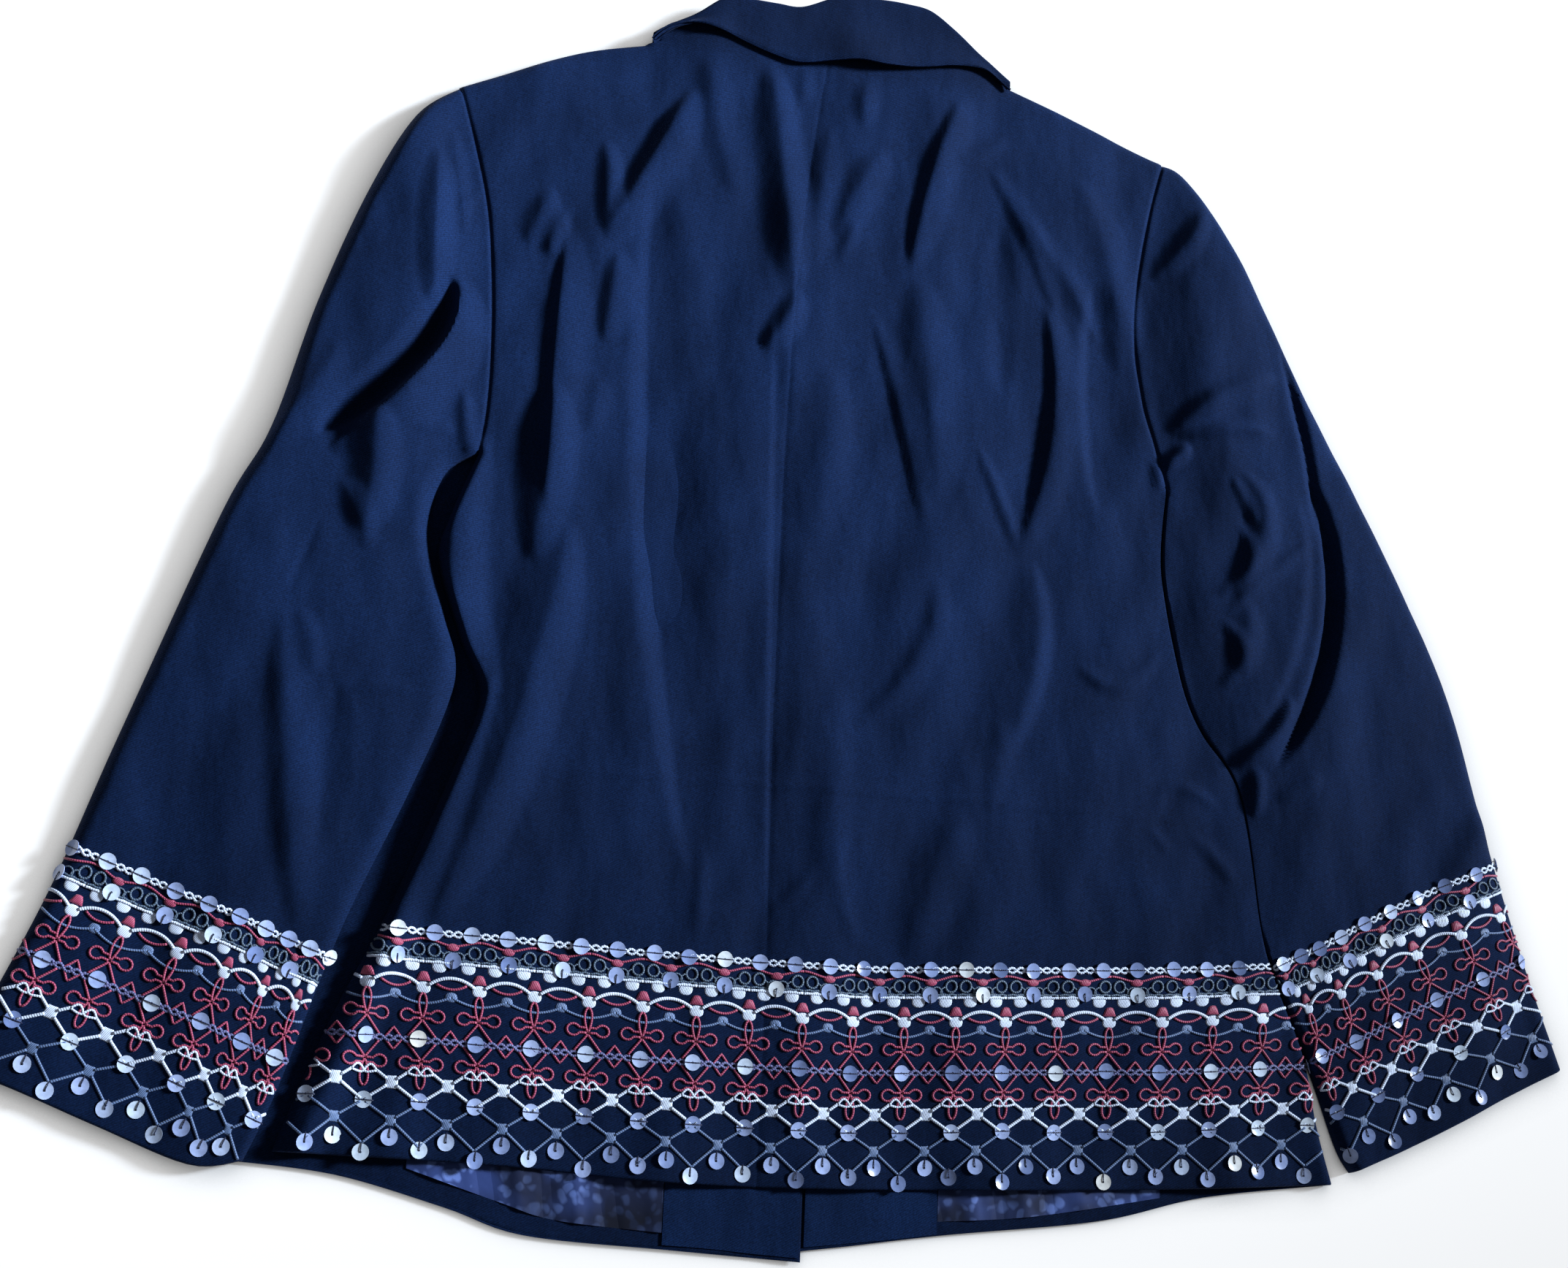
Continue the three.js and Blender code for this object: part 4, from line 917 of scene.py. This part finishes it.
# ---- the collar
def collar():
    """A stand that rises from the neck seam, folds over and falls back over it."""
    wall, inside_gap = 1.9, 0.9
    radius = wall + inside_gap / 2
    parts = parts_from((0, 1.2, 2.6), 230, 2.4, both=True)
    fold, fall, seam = (Line([(row[0], row[edge]) for row in COLLAR_SHAPE]).at(parts) for edge in (1, 2, 3))
    x = fold[:, 0]
    high = COLLAR_TOP - neck_drop(x)
    turn = fold[:, 1] - radius  # where the fall starts to roll over
    # the fall stands off the back in the middle and near its ends
    middle_lift = 5.6 * np.exp(-(((x - 22) / 31) ** 2))
    end_lift = 3.4 * smooth(58, 80, -x) + 1.5 * smooth(50, 80, x) * (1 - smooth(92, 108, x))
    edge_lift = middle_lift + end_lift - 0.4
    share = np.concatenate([[0, 0.015, 0.04, 0.08], np.linspace(0.14, 1, 13)])[:, None]
    lift = edge_lift * (1 - smooth(0, 0.75, share)) - 0.7 * (1 - smooth(0, 0.06, share))
    buckle = 0.5 * np.sin(x * 0.055 + 1.1) + 0.35 * np.sin(x * 0.13)
    bent = buckle * np.sin(math.pi * share) * smooth(8, 26, turn - fall[:, 1])
    on_fall = np.stack([mix(fall[:, 0], x, share), mix(fall[:, 1], turn, share), high + lift + bent], -1)
    angle = np.linspace(0, math.pi, 10)[1:, None]
    roll_y, roll_z = turn + radius * np.sin(angle), high - radius + radius * np.cos(angle)
    on_roll = np.stack([x + 0 * angle, roll_y, roll_z], -1)
    # the stand goes down to the neck seam and tucks in over the neck edge of the back
    foot = np.minimum(seam[:, 1], turn - 0.6)
    low = high - 2 * radius
    neck = np.where(x < 0, y_on("left neck", x), y_on("right neck", x))
    tuck = np.minimum(neck - 3, foot - 0.5)
    tuck = np.where(np.abs(x) > 103, np.maximum(tuck, fall[:, 1] + 1), tuck)
    rows = [(mix(turn, foot, part), low) for part in (0.34, 0.67, 1.0)] + [(tuck, low - 2)]
    on_stand = np.stack([np.stack([x, row_y, row_z], -1) for row_y, row_z in rows])
    outer = np.concatenate([on_fall, on_roll, on_stand])
    inner = outer - normals_of(outer) * wall
    cloth_piece("collar", outer, inner, NAVY)


# ---- the border's chart. across counts motifs and down is millimetres below the middle of the top chain.
PITCH = 28.2
BORDER_DEPTH = 110.0
CHAIN_HOLES = 6  # in each motif
STEP = 1.25  # between two rings of a thread
THREAD_SIDES = 6
STITCH_SIDES = 5
PLUMP = 1.1  # how much thicker than their chart's widths the threads stand


def tube_faces(count, sides, closed):
    """The faces of a tube of rings, with its two ends where it isn't closed."""
    ring = np.arange(sides)
    following = np.roll(ring, -1)
    start = np.arange(count if closed else count - 1)[:, None] * sides
    after = (start + sides) % (count * sides)
    quads = np.stack([start + ring, start + following, after + following, after + ring], -1).reshape(-1, 4)
    return list(quads) + ([] if closed else [ring[::-1], ring + (count - 1) * sides])


class Band:
    """Lays the chart on the cloth. Each motif's axis runs from a place on the chain to one near the hem."""

    def __init__(self, first, top, low, surface, inside):
        self.number = first + np.arange(len(top))
        self.axes = np.array(top, float), np.array(low, float)
        self.surface, self.inside = surface, inside

    def place(self, across, down):
        """The places (x, y) of points of the chart."""
        top, low = (
            np.stack([np.interp(across, self.number, line[:, i]) for i in (0, 1)], -1) for line in self.axes
        )
        return mix(top, low, (np.asarray(down) / BORDER_DEPTH)[..., None])

    def lift(self, places, height):
        """Points height millimetres off the cloth, and the cloth's normals."""
        x, y = places[..., 0], places[..., 1]
        probe = 0.8
        z = self.surface(x, y)
        slope_x = (self.surface(x + probe, y) - z) / probe
        slope_y = (self.surface(x, y + probe) - z) / probe
        normal = unit(np.stack([-slope_x, -slope_y, np.ones_like(z)], -1))
        return np.stack([x, y, z], -1) + normal * np.asarray(height)[..., None], normal


class Work:
    """Collects the thread work of one band by colour, to be made into one mesh each."""

    def __init__(self, band):
        self.band = band
        self.points, self.faces, self.along = {}, {}, {}

    def add(self, colour, points, faces, along):
        start = sum(len(p) for p in self.points.setdefault(colour, []))
        self.points[colour].append(points)
        self.faces.setdefault(colour, []).extend((face + start).tolist() for face in faces)
        self.along.setdefault(colour, []).append(along)

    def thread(self, colour, width, across, down, height, closed=False):
        """A thread along points of the chart, left out where there is no cloth."""
        across, down = np.asarray(across, float), np.asarray(down, float)
        length = length_along(np.stack([across * PITCH, down], -1))
        count = max(3, round(length[-1] / STEP))
        spots = np.linspace(0, length[-1], count + 1)
        places = self.band.place(np.interp(spots, length, across), np.interp(spots, length, down))
        kept = self.band.inside(places[:, 0], places[:, 1], 0.6)
        if closed and kept.all():
            self.tube(colour, width, places[:-1], height, True)
            return
        edges = np.flatnonzero(np.diff(np.concatenate([[0], kept.astype(int), [0]])))
        for first, last in zip(edges[::2], edges[1::2]):
            if last - first > 2:
                self.tube(colour, width, places[first:last], height, False)

    def tube(self, colour, width, places, height, closed):
        """A plump flattened tube on the cloth."""
        width *= PLUMP
        centre, normal = self.band.lift(places, np.full(len(places), height))
        if closed:
            tangent = np.roll(centre, -1, 0) - np.roll(centre, 1, 0)
        else:
            tangent = np.gradient(centre, axis=0)
        flank = np.cross(unit(tangent), normal)
        half_height = min(width * 0.42, 0.62)
        turn = (np.arange(THREAD_SIDES) + 0.5) / THREAD_SIDES
        self.add_rings(colour, centre, flank * width / 2, normal * half_height, turn, closed, 1.2)

    def stitch(self, colour, width, path, normal):
        """A thread along points in space, its flat side across the normal."""
        tangent = unit(np.gradient(path, axis=0))
        flank = unit(np.cross(tangent, normal))
        rise = np.cross(flank, tangent) * width * 0.4
        turn = np.arange(STITCH_SIDES) / STITCH_SIDES
        self.add_rings(colour, path, flank * width / 2, rise, turn, False, 0)

    def add_rings(self, colour, centre, aside, rise, turn, closed, slant):
        """A tube with an ellipse about each centre. slant is how far its cords run on in a turn round it."""
        angle = 2 * math.pi * turn[:, None]
        rings = centre[:, None] + aside[:, None] * np.cos(angle) + rise[:, None] * np.sin(angle)
        faces = tube_faces(len(centre), turn.size, closed)
        along = length_along(centre)[:, None] + np.arange(turn.size) / turn.size * slant
        self.add(colour, rings.reshape(-1, 3), faces, along.ravel())

    def patch(self, colour, outline, centre, height=0.85, base=0.05):
        """A raised satin-stitched shape. outline is (across mm, down mm) about a centre (across, down)."""
        outline = np.array(outline, float)
        count = len(outline)
        rings = [(0.5, height * 0.94), (0.84, height * 0.66), (1.0, base), (0.96, -0.25)]
        spots = np.vstack([np.zeros((1, 2))] + [outline * share for share, _ in rings])
        heights = np.concatenate([[height]] + [np.full(count, level) for _, level in rings])
        places = self.band.place(centre[0] + spots[:, 0] / PITCH, centre[1] + spots[:, 1])
        if not self.band.inside(places[:, 0], places[:, 1], 0.3).all():
            return
        points, _ = self.band.lift(places, heights)
        ring = np.arange(count) + 1
        pairs = list(zip(ring, np.roll(ring, -1)))
        faces = [np.array([0, a, b]) for a, b in pairs]
        for near in range(0, 3 * count, count):
            far = near + count
            faces += [np.array([near + a, far + a, far + b, near + b]) for a, b in pairs]
        faces.append(3 * count + ring[::-1])
        self.add(colour, points, faces, spots[:, 0] * 1.4 + spots[:, 1] * 0.5)

    def finish(self, name):
        """One piece for each colour."""
        for colour, points in self.points.items():
            faces = self.faces[colour]
            piece = mesh_piece(f"{name}_{colour}_thread", np.vstack(points), faces, THREADS[colour])
            store(piece, "along", np.concatenate(self.along[colour]))


def store(piece, name, values):
    attribute = piece.data.attributes.new(name, "FLOAT", "POINT")
    attribute.data.foreach_set("value", np.asarray(values, np.float32))


def round_shape(half_width, half_height, count=14, exponent=1.0):
    """An outline for patch(), round with exponent 1 and squarer below it."""
    angle = 2 * math.pi * np.arange(count) / count
    x, y = (np.sign(part) * np.abs(part) ** exponent for part in (np.cos(angle), np.sin(angle)))
    return np.stack([x * half_width, y * half_height], -1)


def cross_square(half, waist):
    """An outline of a square with four arms at its corners."""
    angle = 2 * math.pi * (np.arange(16) + 0.5) / 16
    reach = half * (waist + (1.32 - waist) * np.sin(2 * angle) ** 2)
    return np.stack([np.cos(angle) * reach, np.sin(angle) * reach], -1)


def chain(work, colour, down, amplitude, width):
    """Two threads that cross between the holes of a chain."""
    first, last = work.band.number[[0, -1]]
    across = np.linspace(first, last, round((last - first) * PITCH / 0.9))
    swing = amplitude * np.sin(across * CHAIN_HOLES * math.pi)
    for sign in (1, -1):
        work.thread(colour, width, across, down + sign * swing, 0.3 + 0.12 * sign)


# Levels of the chart, in millimetres below the middle of the top chain.
RED_WAVE = {"peak": 3.2, "trough": 6.0, "dot": 6.6}
RING = {"down": 8.8, "aside": 3.95, "half_width": 2.95, "half_height": 3.1}
SCRIBBLE = 13.2
WHITE_LINE = 14.8
HALF_DOT = {"down": 16.6, "left": -6.0, "right": 7.6}
BLOB = 22.1
NODE = 27.9
ARCH = {"top": 22.4, "foot": 26.4}
RED_ARC = {"end": 25.6, "low": 28.0}
BLUE_DOT = {"down": 31.9, "low": 35.8}
FLOWERS = (
    {"down": 42.9, "loop_down": 41.9, "tip": 30.6, "tip_half": 2.5},
    {"down": 65.6, "loop_down": 65.9, "tip": 78.4, "tip_half": 2.9},
)
SIDE_LOOP = {"aside": 7.6, "half_width": 3.4, "half_height": 2.95}
PURPLE = 54.3
ZIGZAG = {"top": 48.6, "bottom": 59.8, "half_width": 4.5}
WHITE_SQUARE = 75.9
NET_SEQUIN = 85.1
BLUE_SQUARE = 94.7
LOW_SEQUIN = 103.2
V_POINT = 106.4

# A blob's outline about its middle.
BELL = [
    (-3.6, 2.3), (-2.6, -0.6), (-1.7, -2.2), (0, -2.5), (1.7, -2.2), (2.6, -0.6), (3.6, 2.3), (1.8, 2.5),
    (-1.8, 2.5),
]
# Two white threads that cross at the axis and leave a hole on each side of it.
BUMPS = (
    [
        (-6.6, 70.8), (-5.2, 69.0), (-3.9, 67.9), (-2.6, 67.9), (-1.2, 69.2), (0.2, 71.4), (1.4, 71.9),
        (3.2, 71.6), (6.6, 70.8),
    ],
    [
        (-6.6, 70.8), (-3.4, 71.7), (-1.4, 71.9), (-0.2, 71.4), (1.2, 69.2), (2.6, 67.9), (3.9, 67.9),
        (5.2, 69.0), (6.6, 70.8),
    ],
)
# The two nets' threads on one side of the axis: colour, width, height, and the two ends as (aside, down).
WHITE_CORNER, BLUE_CORNER = PITCH / 2 - 2.4, PITCH / 2 - 2.0
NETS = (
    ("white", 1.6, 0.45, (6.4, 70.6), (WHITE_CORNER, WHITE_SQUARE - 1.6)),
    ("white", 1.6, 0.4, (WHITE_CORNER, WHITE_SQUARE + 1.6), (1.0, NET_SEQUIN - 0.4)),
    ("blue", 1.35, 0.3, (1.2, NET_SEQUIN + 1.2), (BLUE_CORNER, BLUE_SQUARE - 1.4)),
    ("blue", 1.35, 0.3, (BLUE_CORNER, BLUE_SQUARE + 1.4), (0, V_POINT)),
)


def upper_rows(work, k):
    """The red wave, the rings, the scribble and the white line with its half dots, for one motif."""
    t = np.linspace(0, 1, 23)
    swing = (1 - np.cos(2 * math.pi * t)) / 2
    work.thread("crimson", 1.15, k + t, mix(RED_WAVE["peak"], RED_WAVE["trough"], swing), 0.3)
    work.patch("crimson", round_shape(3.3, 2.0), (k + 0.5, RED_WAVE["dot"]))
    angle = np.linspace(0, 2 * math.pi, 23)
    for sign in (-1, 1):
        x = sign * RING["aside"] + RING["half_width"] * np.cos(angle)
        y = RING["down"] + RING["half_height"] * np.sin(angle)
        work.thread("teal", 1.15, k + 0.03 + x / PITCH, y, 0.32, closed=True)
    turn = np.linspace(0, 2 * math.pi * 3, 44)
    x = np.linspace(-7.5, 7.5, turn.size) + 1.5 * np.sin(turn)
    work.thread("teal", 0.85, k + 0.52 + x / PITCH, SCRIBBLE - 2.2 - 1.9 * np.cos(turn), 0.3)
    work.thread("teal", 1.05, k + t, SCRIBBLE + 0.35 * np.sin(t * 40), 0.28)
    work.thread("white", 1.35, k + t, WHITE_LINE + 0.12 * np.sin(t * 50), 0.36)
    for aside in (HALF_DOT["left"], HALF_DOT["right"]):
        centre = (k + aside / PITCH, HALF_DOT["down"])
        work.patch("white", round_shape(3.7, 3.4, 14, 0.85), centre, 0.5, 0.12)


def scallops(work, k):
    """White arches between half-disc nodes, with red arcs, red blobs and the blue-grey line of dots."""
    work.patch("crimson", BELL, (k, BLOB), 0.9)
    work.patch("white", round_shape(3.7, 3.0, 14, 0.85), (k, NODE), 0.55, 0.14)
    t = np.linspace(-1, 1, 15)
    reach = (PITCH / 2 - 2.6) / PITCH
    work.thread("white", 1.75, k + 0.5 + t * reach, mix(ARCH["top"], ARCH["foot"], np.abs(t) ** 2.1), 0.45)
    work.thread("crimson", 1.25, k + 0.5 + t * 7.6 / PITCH, mix(RED_ARC["low"], RED_ARC["end"], t**2), 0.32)
    work.patch("blue", round_shape(3.1, 2.5, 12, 0.8), (k + 0.5, BLUE_DOT["down"]), 0.6)
    sag = mix(BLUE_DOT["low"], BLUE_DOT["down"], np.abs(t) ** 1.8)
    work.thread("blue", 1.25, k + t * 0.5, sag, 0.28)


def flower(work, k, row):
    """A looped knot: a tall loop and two side loops that cross in the middle."""
    middle, tip = row["down"], row["tip"]
    away = math.copysign(1, tip - middle)
    # the tall loop is two threads that swell between the crossing and the tip
    rise = np.linspace(0, 1, 25)
    swell = row["tip_half"] * np.sin(math.pi * rise) ** 0.55 * (0.45 + 0.55 * rise)
    for sign in (-1, 1):
        work.thread("crimson", 1.2, k + sign * swell / PITCH, mix(middle - away * 0.2, tip, rise), 0.4)
    angle = np.linspace(-0.86 * math.pi, 0.86 * math.pi, 26)
    loop_x = SIDE_LOOP["aside"] + SIDE_LOOP["half_width"] * np.cos(angle)
    loop_x = np.concatenate([[0.6], loop_x, [0.6]])
    loop_y = np.concatenate([[-1.3], SIDE_LOOP["half_height"] * np.sin(angle), [1.3]])
    loop_y += mix(row["loop_down"], middle, 0.2)
    leg_x, leg_y = np.array([0, 7.0]), [middle - away * 1.2, PURPLE + away * 1.6]
    for sign in (-1, 1):
        work.thread("crimson", 1.2, k + sign * loop_x / PITCH, loop_y, 0.36)
        work.thread("crimson", 1.2, k + sign * leg_x / PITCH, leg_y, 0.34)


def lower_rows(work, k):
    """The zigzag, the white bumps, the white net with its squares and the blue-grey net below it."""
    half = ZIGZAG["half_width"] / PITCH
    across = [k + 0.5 - half, k + 0.5, k + 0.5 + half, k + 0.5, k + 0.5 - half]
    down = [PURPLE, ZIGZAG["top"], PURPLE, ZIGZAG["bottom"], PURPLE]
    work.thread("crimson", 1.15, across, down, 0.3)
    for sign in (-1, 1):
        for colour, width, height, near, far in NETS:
            aside, down = zip(near, far)
            work.thread(colour, width, k + sign * np.array(aside) / PITCH, down, height)
    for path in BUMPS:
        x, y = np.array(path).T
        work.thread("white", 1.2, k + x / PITCH, y, 0.6)
    work.patch("white", cross_square(3.1, 0.98), (k + 0.5, WHITE_SQUARE), 0.55, 0.14)
    work.patch("blue", cross_square(2.7, 0.95), (k + 0.5, BLUE_SQUARE), 0.65, 0.15)


def thread_work(band, name):
    work = Work(band)
    chain(work, "white", 0.0, amplitude=1.45, width=1.35)
    chain(work, "purple", PURPLE, amplitude=1.4, width=1.45)
    for k in range(band.number[0], band.number[-1]):
        upper_rows(work, k)
        scallops(work, k)
        for row in FLOWERS:
            flower(work, k, row)
        lower_rows(work, k)
    work.finish(name)


# ---- sequins
SEQUIN_RINGS = [(0.55, 0.0), (1.9, 0.06), (3.2, 0.2), (4.2, 0.4)]  # radius and height of the cup
SEQUIN_SIDES = 20
SEQUIN_WALL = 0.22
STITCH_DOWN = [(0, 0.3, 0.2), (0, -0.6, 0.42), (0, -2.2, 0.45), (0, -4.2, 0.5), (0, -4.8, -0.1)]
STITCHES = {
    "across": [
        (-4.9, 0, -0.1), (-4.3, 0, 0.5), (-2.2, 0, 0.42), (-0.3, 0, 0.28), (0.3, 0, 0.28), (2.2, 0, 0.42),
        (4.3, 0, 0.5), (4.9, 0, -0.1),
    ],
    "down": STITCH_DOWN,
    "up": [(x, -y, z) for x, y, z in STITCH_DOWN],
}


def sequin_shape():
    """A cupped disc with a small hole: rings of points on both faces, and its quads."""
    radii, cup = np.array(SEQUIN_RINGS).T[:, :, None]
    angle = 2 * math.pi * np.arange(SEQUIN_SIDES) / SEQUIN_SIDES
    rings = np.stack([radii * np.cos(angle), radii * np.sin(angle), cup + 0 * angle], -1)
    points = np.concatenate([rings, rings[::-1] - [0, 0, SEQUIN_WALL]]).reshape(-1, 3)
    count = len(points) // SEQUIN_SIDES
    return points, np.vstack(tube_faces(count, SEQUIN_SIDES, True))[:, [0, 3, 2, 1]]


def turned_to(normal, right):
    """Rotations that stand local z on the normals and local x near the given directions."""
    across = unit(right - normal * (right * normal).sum(-1, keepdims=True))
    return np.stack([across, np.cross(normal, across), normal], -1)


def sequin_spots(first, last):
    """Where sequins go on the chart: across, down, height off the cloth, stitch."""
    count = int((last - first) * 1.5)
    spots = [(first + 0.5 + i * 2 / 3, 0.0, 1.15, "across") for i in range(count)]
    for k in range(first, last + 1):
        spots += [
            (k + 0.5, SCRIBBLE, 1.0, "down"),
            (k - 0.03, PURPLE, 1.05, "across"),
            (k, NET_SEQUIN, 0.75, "across"),
            (k + 0.5, LOW_SEQUIN, 0.6, "up"),
            (k, 111.0 if k % 2 == 0 else 108.0, 0.6, "up"),
        ]
    return spots


def sequins(band, name):
    spots = sequin_spots(band.number[0], band.number[-1])
    count = len(spots)
    across, down, height = (np.array([spot[i] for spot in spots], float) for i in range(3))
    across = across + random.normal(0, 0.35, count) / PITCH
    down = down + random.normal(0, 0.3, count)
    places = band.place(across, down)
    kept = np.flatnonzero(band.inside(places[:, 0], places[:, 1], 0.4))
    centre, normal = band.lift(places, height)
    right = np.column_stack([band.place(across + 0.05, down) - places, np.zeros(count)])
    tilt = random.normal(0, 0.075, (count, 2))
    lean = turned_to(normal, right)
    tilted = unit(normal + lean[..., 0] * tilt[:, :1] + lean[..., 1] * tilt[:, 1:])
    lean = turned_to(tilted, right)
    # painted light: a little brighter at the left, where more light is reflected, and one in twelve or so has
    # a painted glint
    brightness = mix(0.68, 0.55, smooth(-260, 260, places[:, 0]))
    tone_and_painted_sheen = np.clip(random.normal(brightness, 0.17), 0.25, 0.95)
    painted_glint = random.random(count) < 0.08
    tone_and_painted_sheen = np.where(painted_glint, random.uniform(0.9, 1.0, count), tone_and_painted_sheen)
    shape, quads = sequin_shape()
    points = np.einsum("nij,pj->npi", lean[kept], shape) + centre[kept, None]
    faces = (quads[None] + (np.arange(kept.size) * len(shape))[:, None, None]).reshape(-1, 4)
    piece = mesh_piece(f"{name}_sequins", points.reshape(-1, 3), faces, SEQUIN, sharp_angle=50)
    store(piece, "tone_and_painted_sheen", np.repeat(tone_and_painted_sheen[kept], len(shape)))
    stitches = Work(band)
    for i in kept:
        path = np.array(STITCHES[spots[i][3]], float) @ lean[i].T + centre[i]
        stitches.stitch("navy", 0.55, path, tilted[i])
    stitches.finish(f"{name}_sequin_stitches")


# ---- where the border lies
BODY_CHAIN = Line([
    (-252, 113.6), (-221, 112.4), (-194, 111.6), (-140, 110.2), (-84, 108.6), (-28, 107.8), (29, 107.7),
    (57, 109), (114, 112.3), (170, 116), (200, 117.8), (233, 121), (265, 124.3), (300, 127.5),
])
BODY_FIRST, BODY_LAST = -2, 19


def body_axes():
    """The axes of the body's motifs: an even pitch, a little wider over the last few."""
    number = np.arange(BODY_FIRST, BODY_LAST + 1)
    x = -223.2 + 28.15 * np.minimum(number, 12) + 30.0 * np.maximum(number - 12, 0)
    y = np.interp(x, BODY_CHAIN.points[:, 0], BODY_CHAIN.points[:, 1])
    stretch = mix(1.0, 1.03, smooth(100, 265, x))
    return np.stack([x * 1.008, y], -1), np.stack([x * 0.981, y - BORDER_DEPTH * stretch], -1)


def inside_body(x, y, margin):
    in_sides = (x > x_on("left side", y) + margin) & (x < x_on("right side", y) - margin)
    hem = np.where(x < -18, y_on("left hem", x), y_on("right hem", x))
    return in_sides & (y > hem + margin * 0.5)


def body_surface(x, y):
    left = x < x_on("centre back", y)
    return np.where(left, back_top("left", x, y), back_top("right", x, y))


# The axes of the motifs on the cuffs: x and y where each leaves the chain, and where it comes near the hem.
CUFF_AXES = {
    "left": [
        (-384.5, 145.5, -424, 42), (-358.6, 136.2, -397.4, 32.6), (-333.6, 127.6, -370.3, 24.0),
        (-307.5, 118.8, -342.7, 14.2), (-284.7, 110.6, -317.6, 6.4), (-266.2, 103.2, -297.0, -1.8),
        (-250.5, 98.0, -278.0, -9.0), (-236.0, 92.5, -260.0, -16.0),
    ],
    "right": [
        (270.0, 122.5, 296.0, 12.0), (285.0, 130.0, 315.5, 22.5), (302.0, 138.2, 341.5, 33.6),
        (322.5, 149.5, 368.0, 47.5), (347.0, 162.3, 396.0, 60.5), (374.5, 175.5, 425.5, 74.0),
        (402.0, 187.5, 455.0, 87.5), (428.0, 198.5, 484.0, 101.0),
    ],
}


def cuff_band(side):
    def inside(x, y, margin):
        inner, outer = x_on(f"{side} sleeve inner", y), x_on(f"{side} sleeve outer", y)
        near, far = np.minimum(inner, outer), np.maximum(inner, outer)
        return (x > near + margin) & (x < far - margin) & (y > y_on(f"{side} cuff", x) + margin * 0.5)

    axes = np.array(CUFF_AXES[side])
    return Band(0, axes[:, :2], axes[:, 2:], lambda x, y: sleeve_top(side, x, y), inside)


# ---- floor, light and camera
def stage():
    mesh = bpy.data.meshes.new("floor")
    half = 30.0
    corners = [(-half, -half, 0), (half, -half, 0), (half, half, 0), (-half, half, 0)]
    mesh.from_pydata(corners, [], [(0, 1, 2, 3)])
    mesh.materials.append(pale_floor())
    floor = add_object("floor", mesh)
    floor.location.z = -0.0002


def lights():
    """A soft key light from low on the right, with a soft-edged beam, and a dim dome."""
    data = bpy.data.lights.new("key", "AREA")
    data.size, data.energy, data.spread = 1.1, 13.4, math.radians(16)
    data.color = (0.8, 0.89, 1.0)
    light = add_object("key", data)
    azimuth, elevation, distance = math.radians(18), math.radians(28), 5.0
    flat = distance * math.cos(elevation)
    light.location = (flat * math.cos(azimuth), flat * math.sin(azimuth), distance * math.sin(elevation))
    aim = Vector((-0.36, 0.14, 0))
    light.rotation_euler = (aim - light.location).to_track_quat("-Z", "Y").to_euler()
    world = bpy.data.worlds.new("dome")
    world.use_nodes = True
    background = world.node_tree.nodes["Background"]
    background.inputs["Color"].default_value = (0.95, 0.97, 1.0, 1)
    background.inputs["Strength"].default_value = 0.13
    bpy.context.scene.world = world


def camera():
    """The photograph's view: nearly from above, from the side of the left cuff."""
    data = bpy.data.cameras.new("camera")
    data.sensor_width, data.lens = 36.0, 48.83
    data.clip_start, data.clip_end = 0.05, 20
    eye = add_object("camera", data)
    right, up, back = (0.97077, 0.03717, 0.23713), (-0.10004, 0.9607, 0.25894), (-0.21819, -0.27509, 0.93633)
    turn = Matrix((right, up, back)).transposed().to_4x4()
    turn.translation = (-0.28921, -0.35708, 1.10404)
    eye.matrix_world = turn
    bpy.context.scene.camera = eye


camera()
stage()
lights()
bpy.context.scene.view_settings.view_transform = "Standard"

for side in SIDES:
    back_half(side)
    top_sleeve(side)
    under_sleeve(side)
    front(side)
for name, low in STRIPS.items():
    inside_strip(name, low)
for name, (low, high, flat) in UNDERSIDE.items():
    underside_piece(name, low, high)
collar()

body_band = Band(BODY_FIRST, *body_axes(), body_surface, inside_body)
for name, band in (("back", body_band), ("left_cuff", cuff_band("left")), ("right_cuff", cuff_band("right"))):
    thread_work(band, name)
    sequins(band, name)
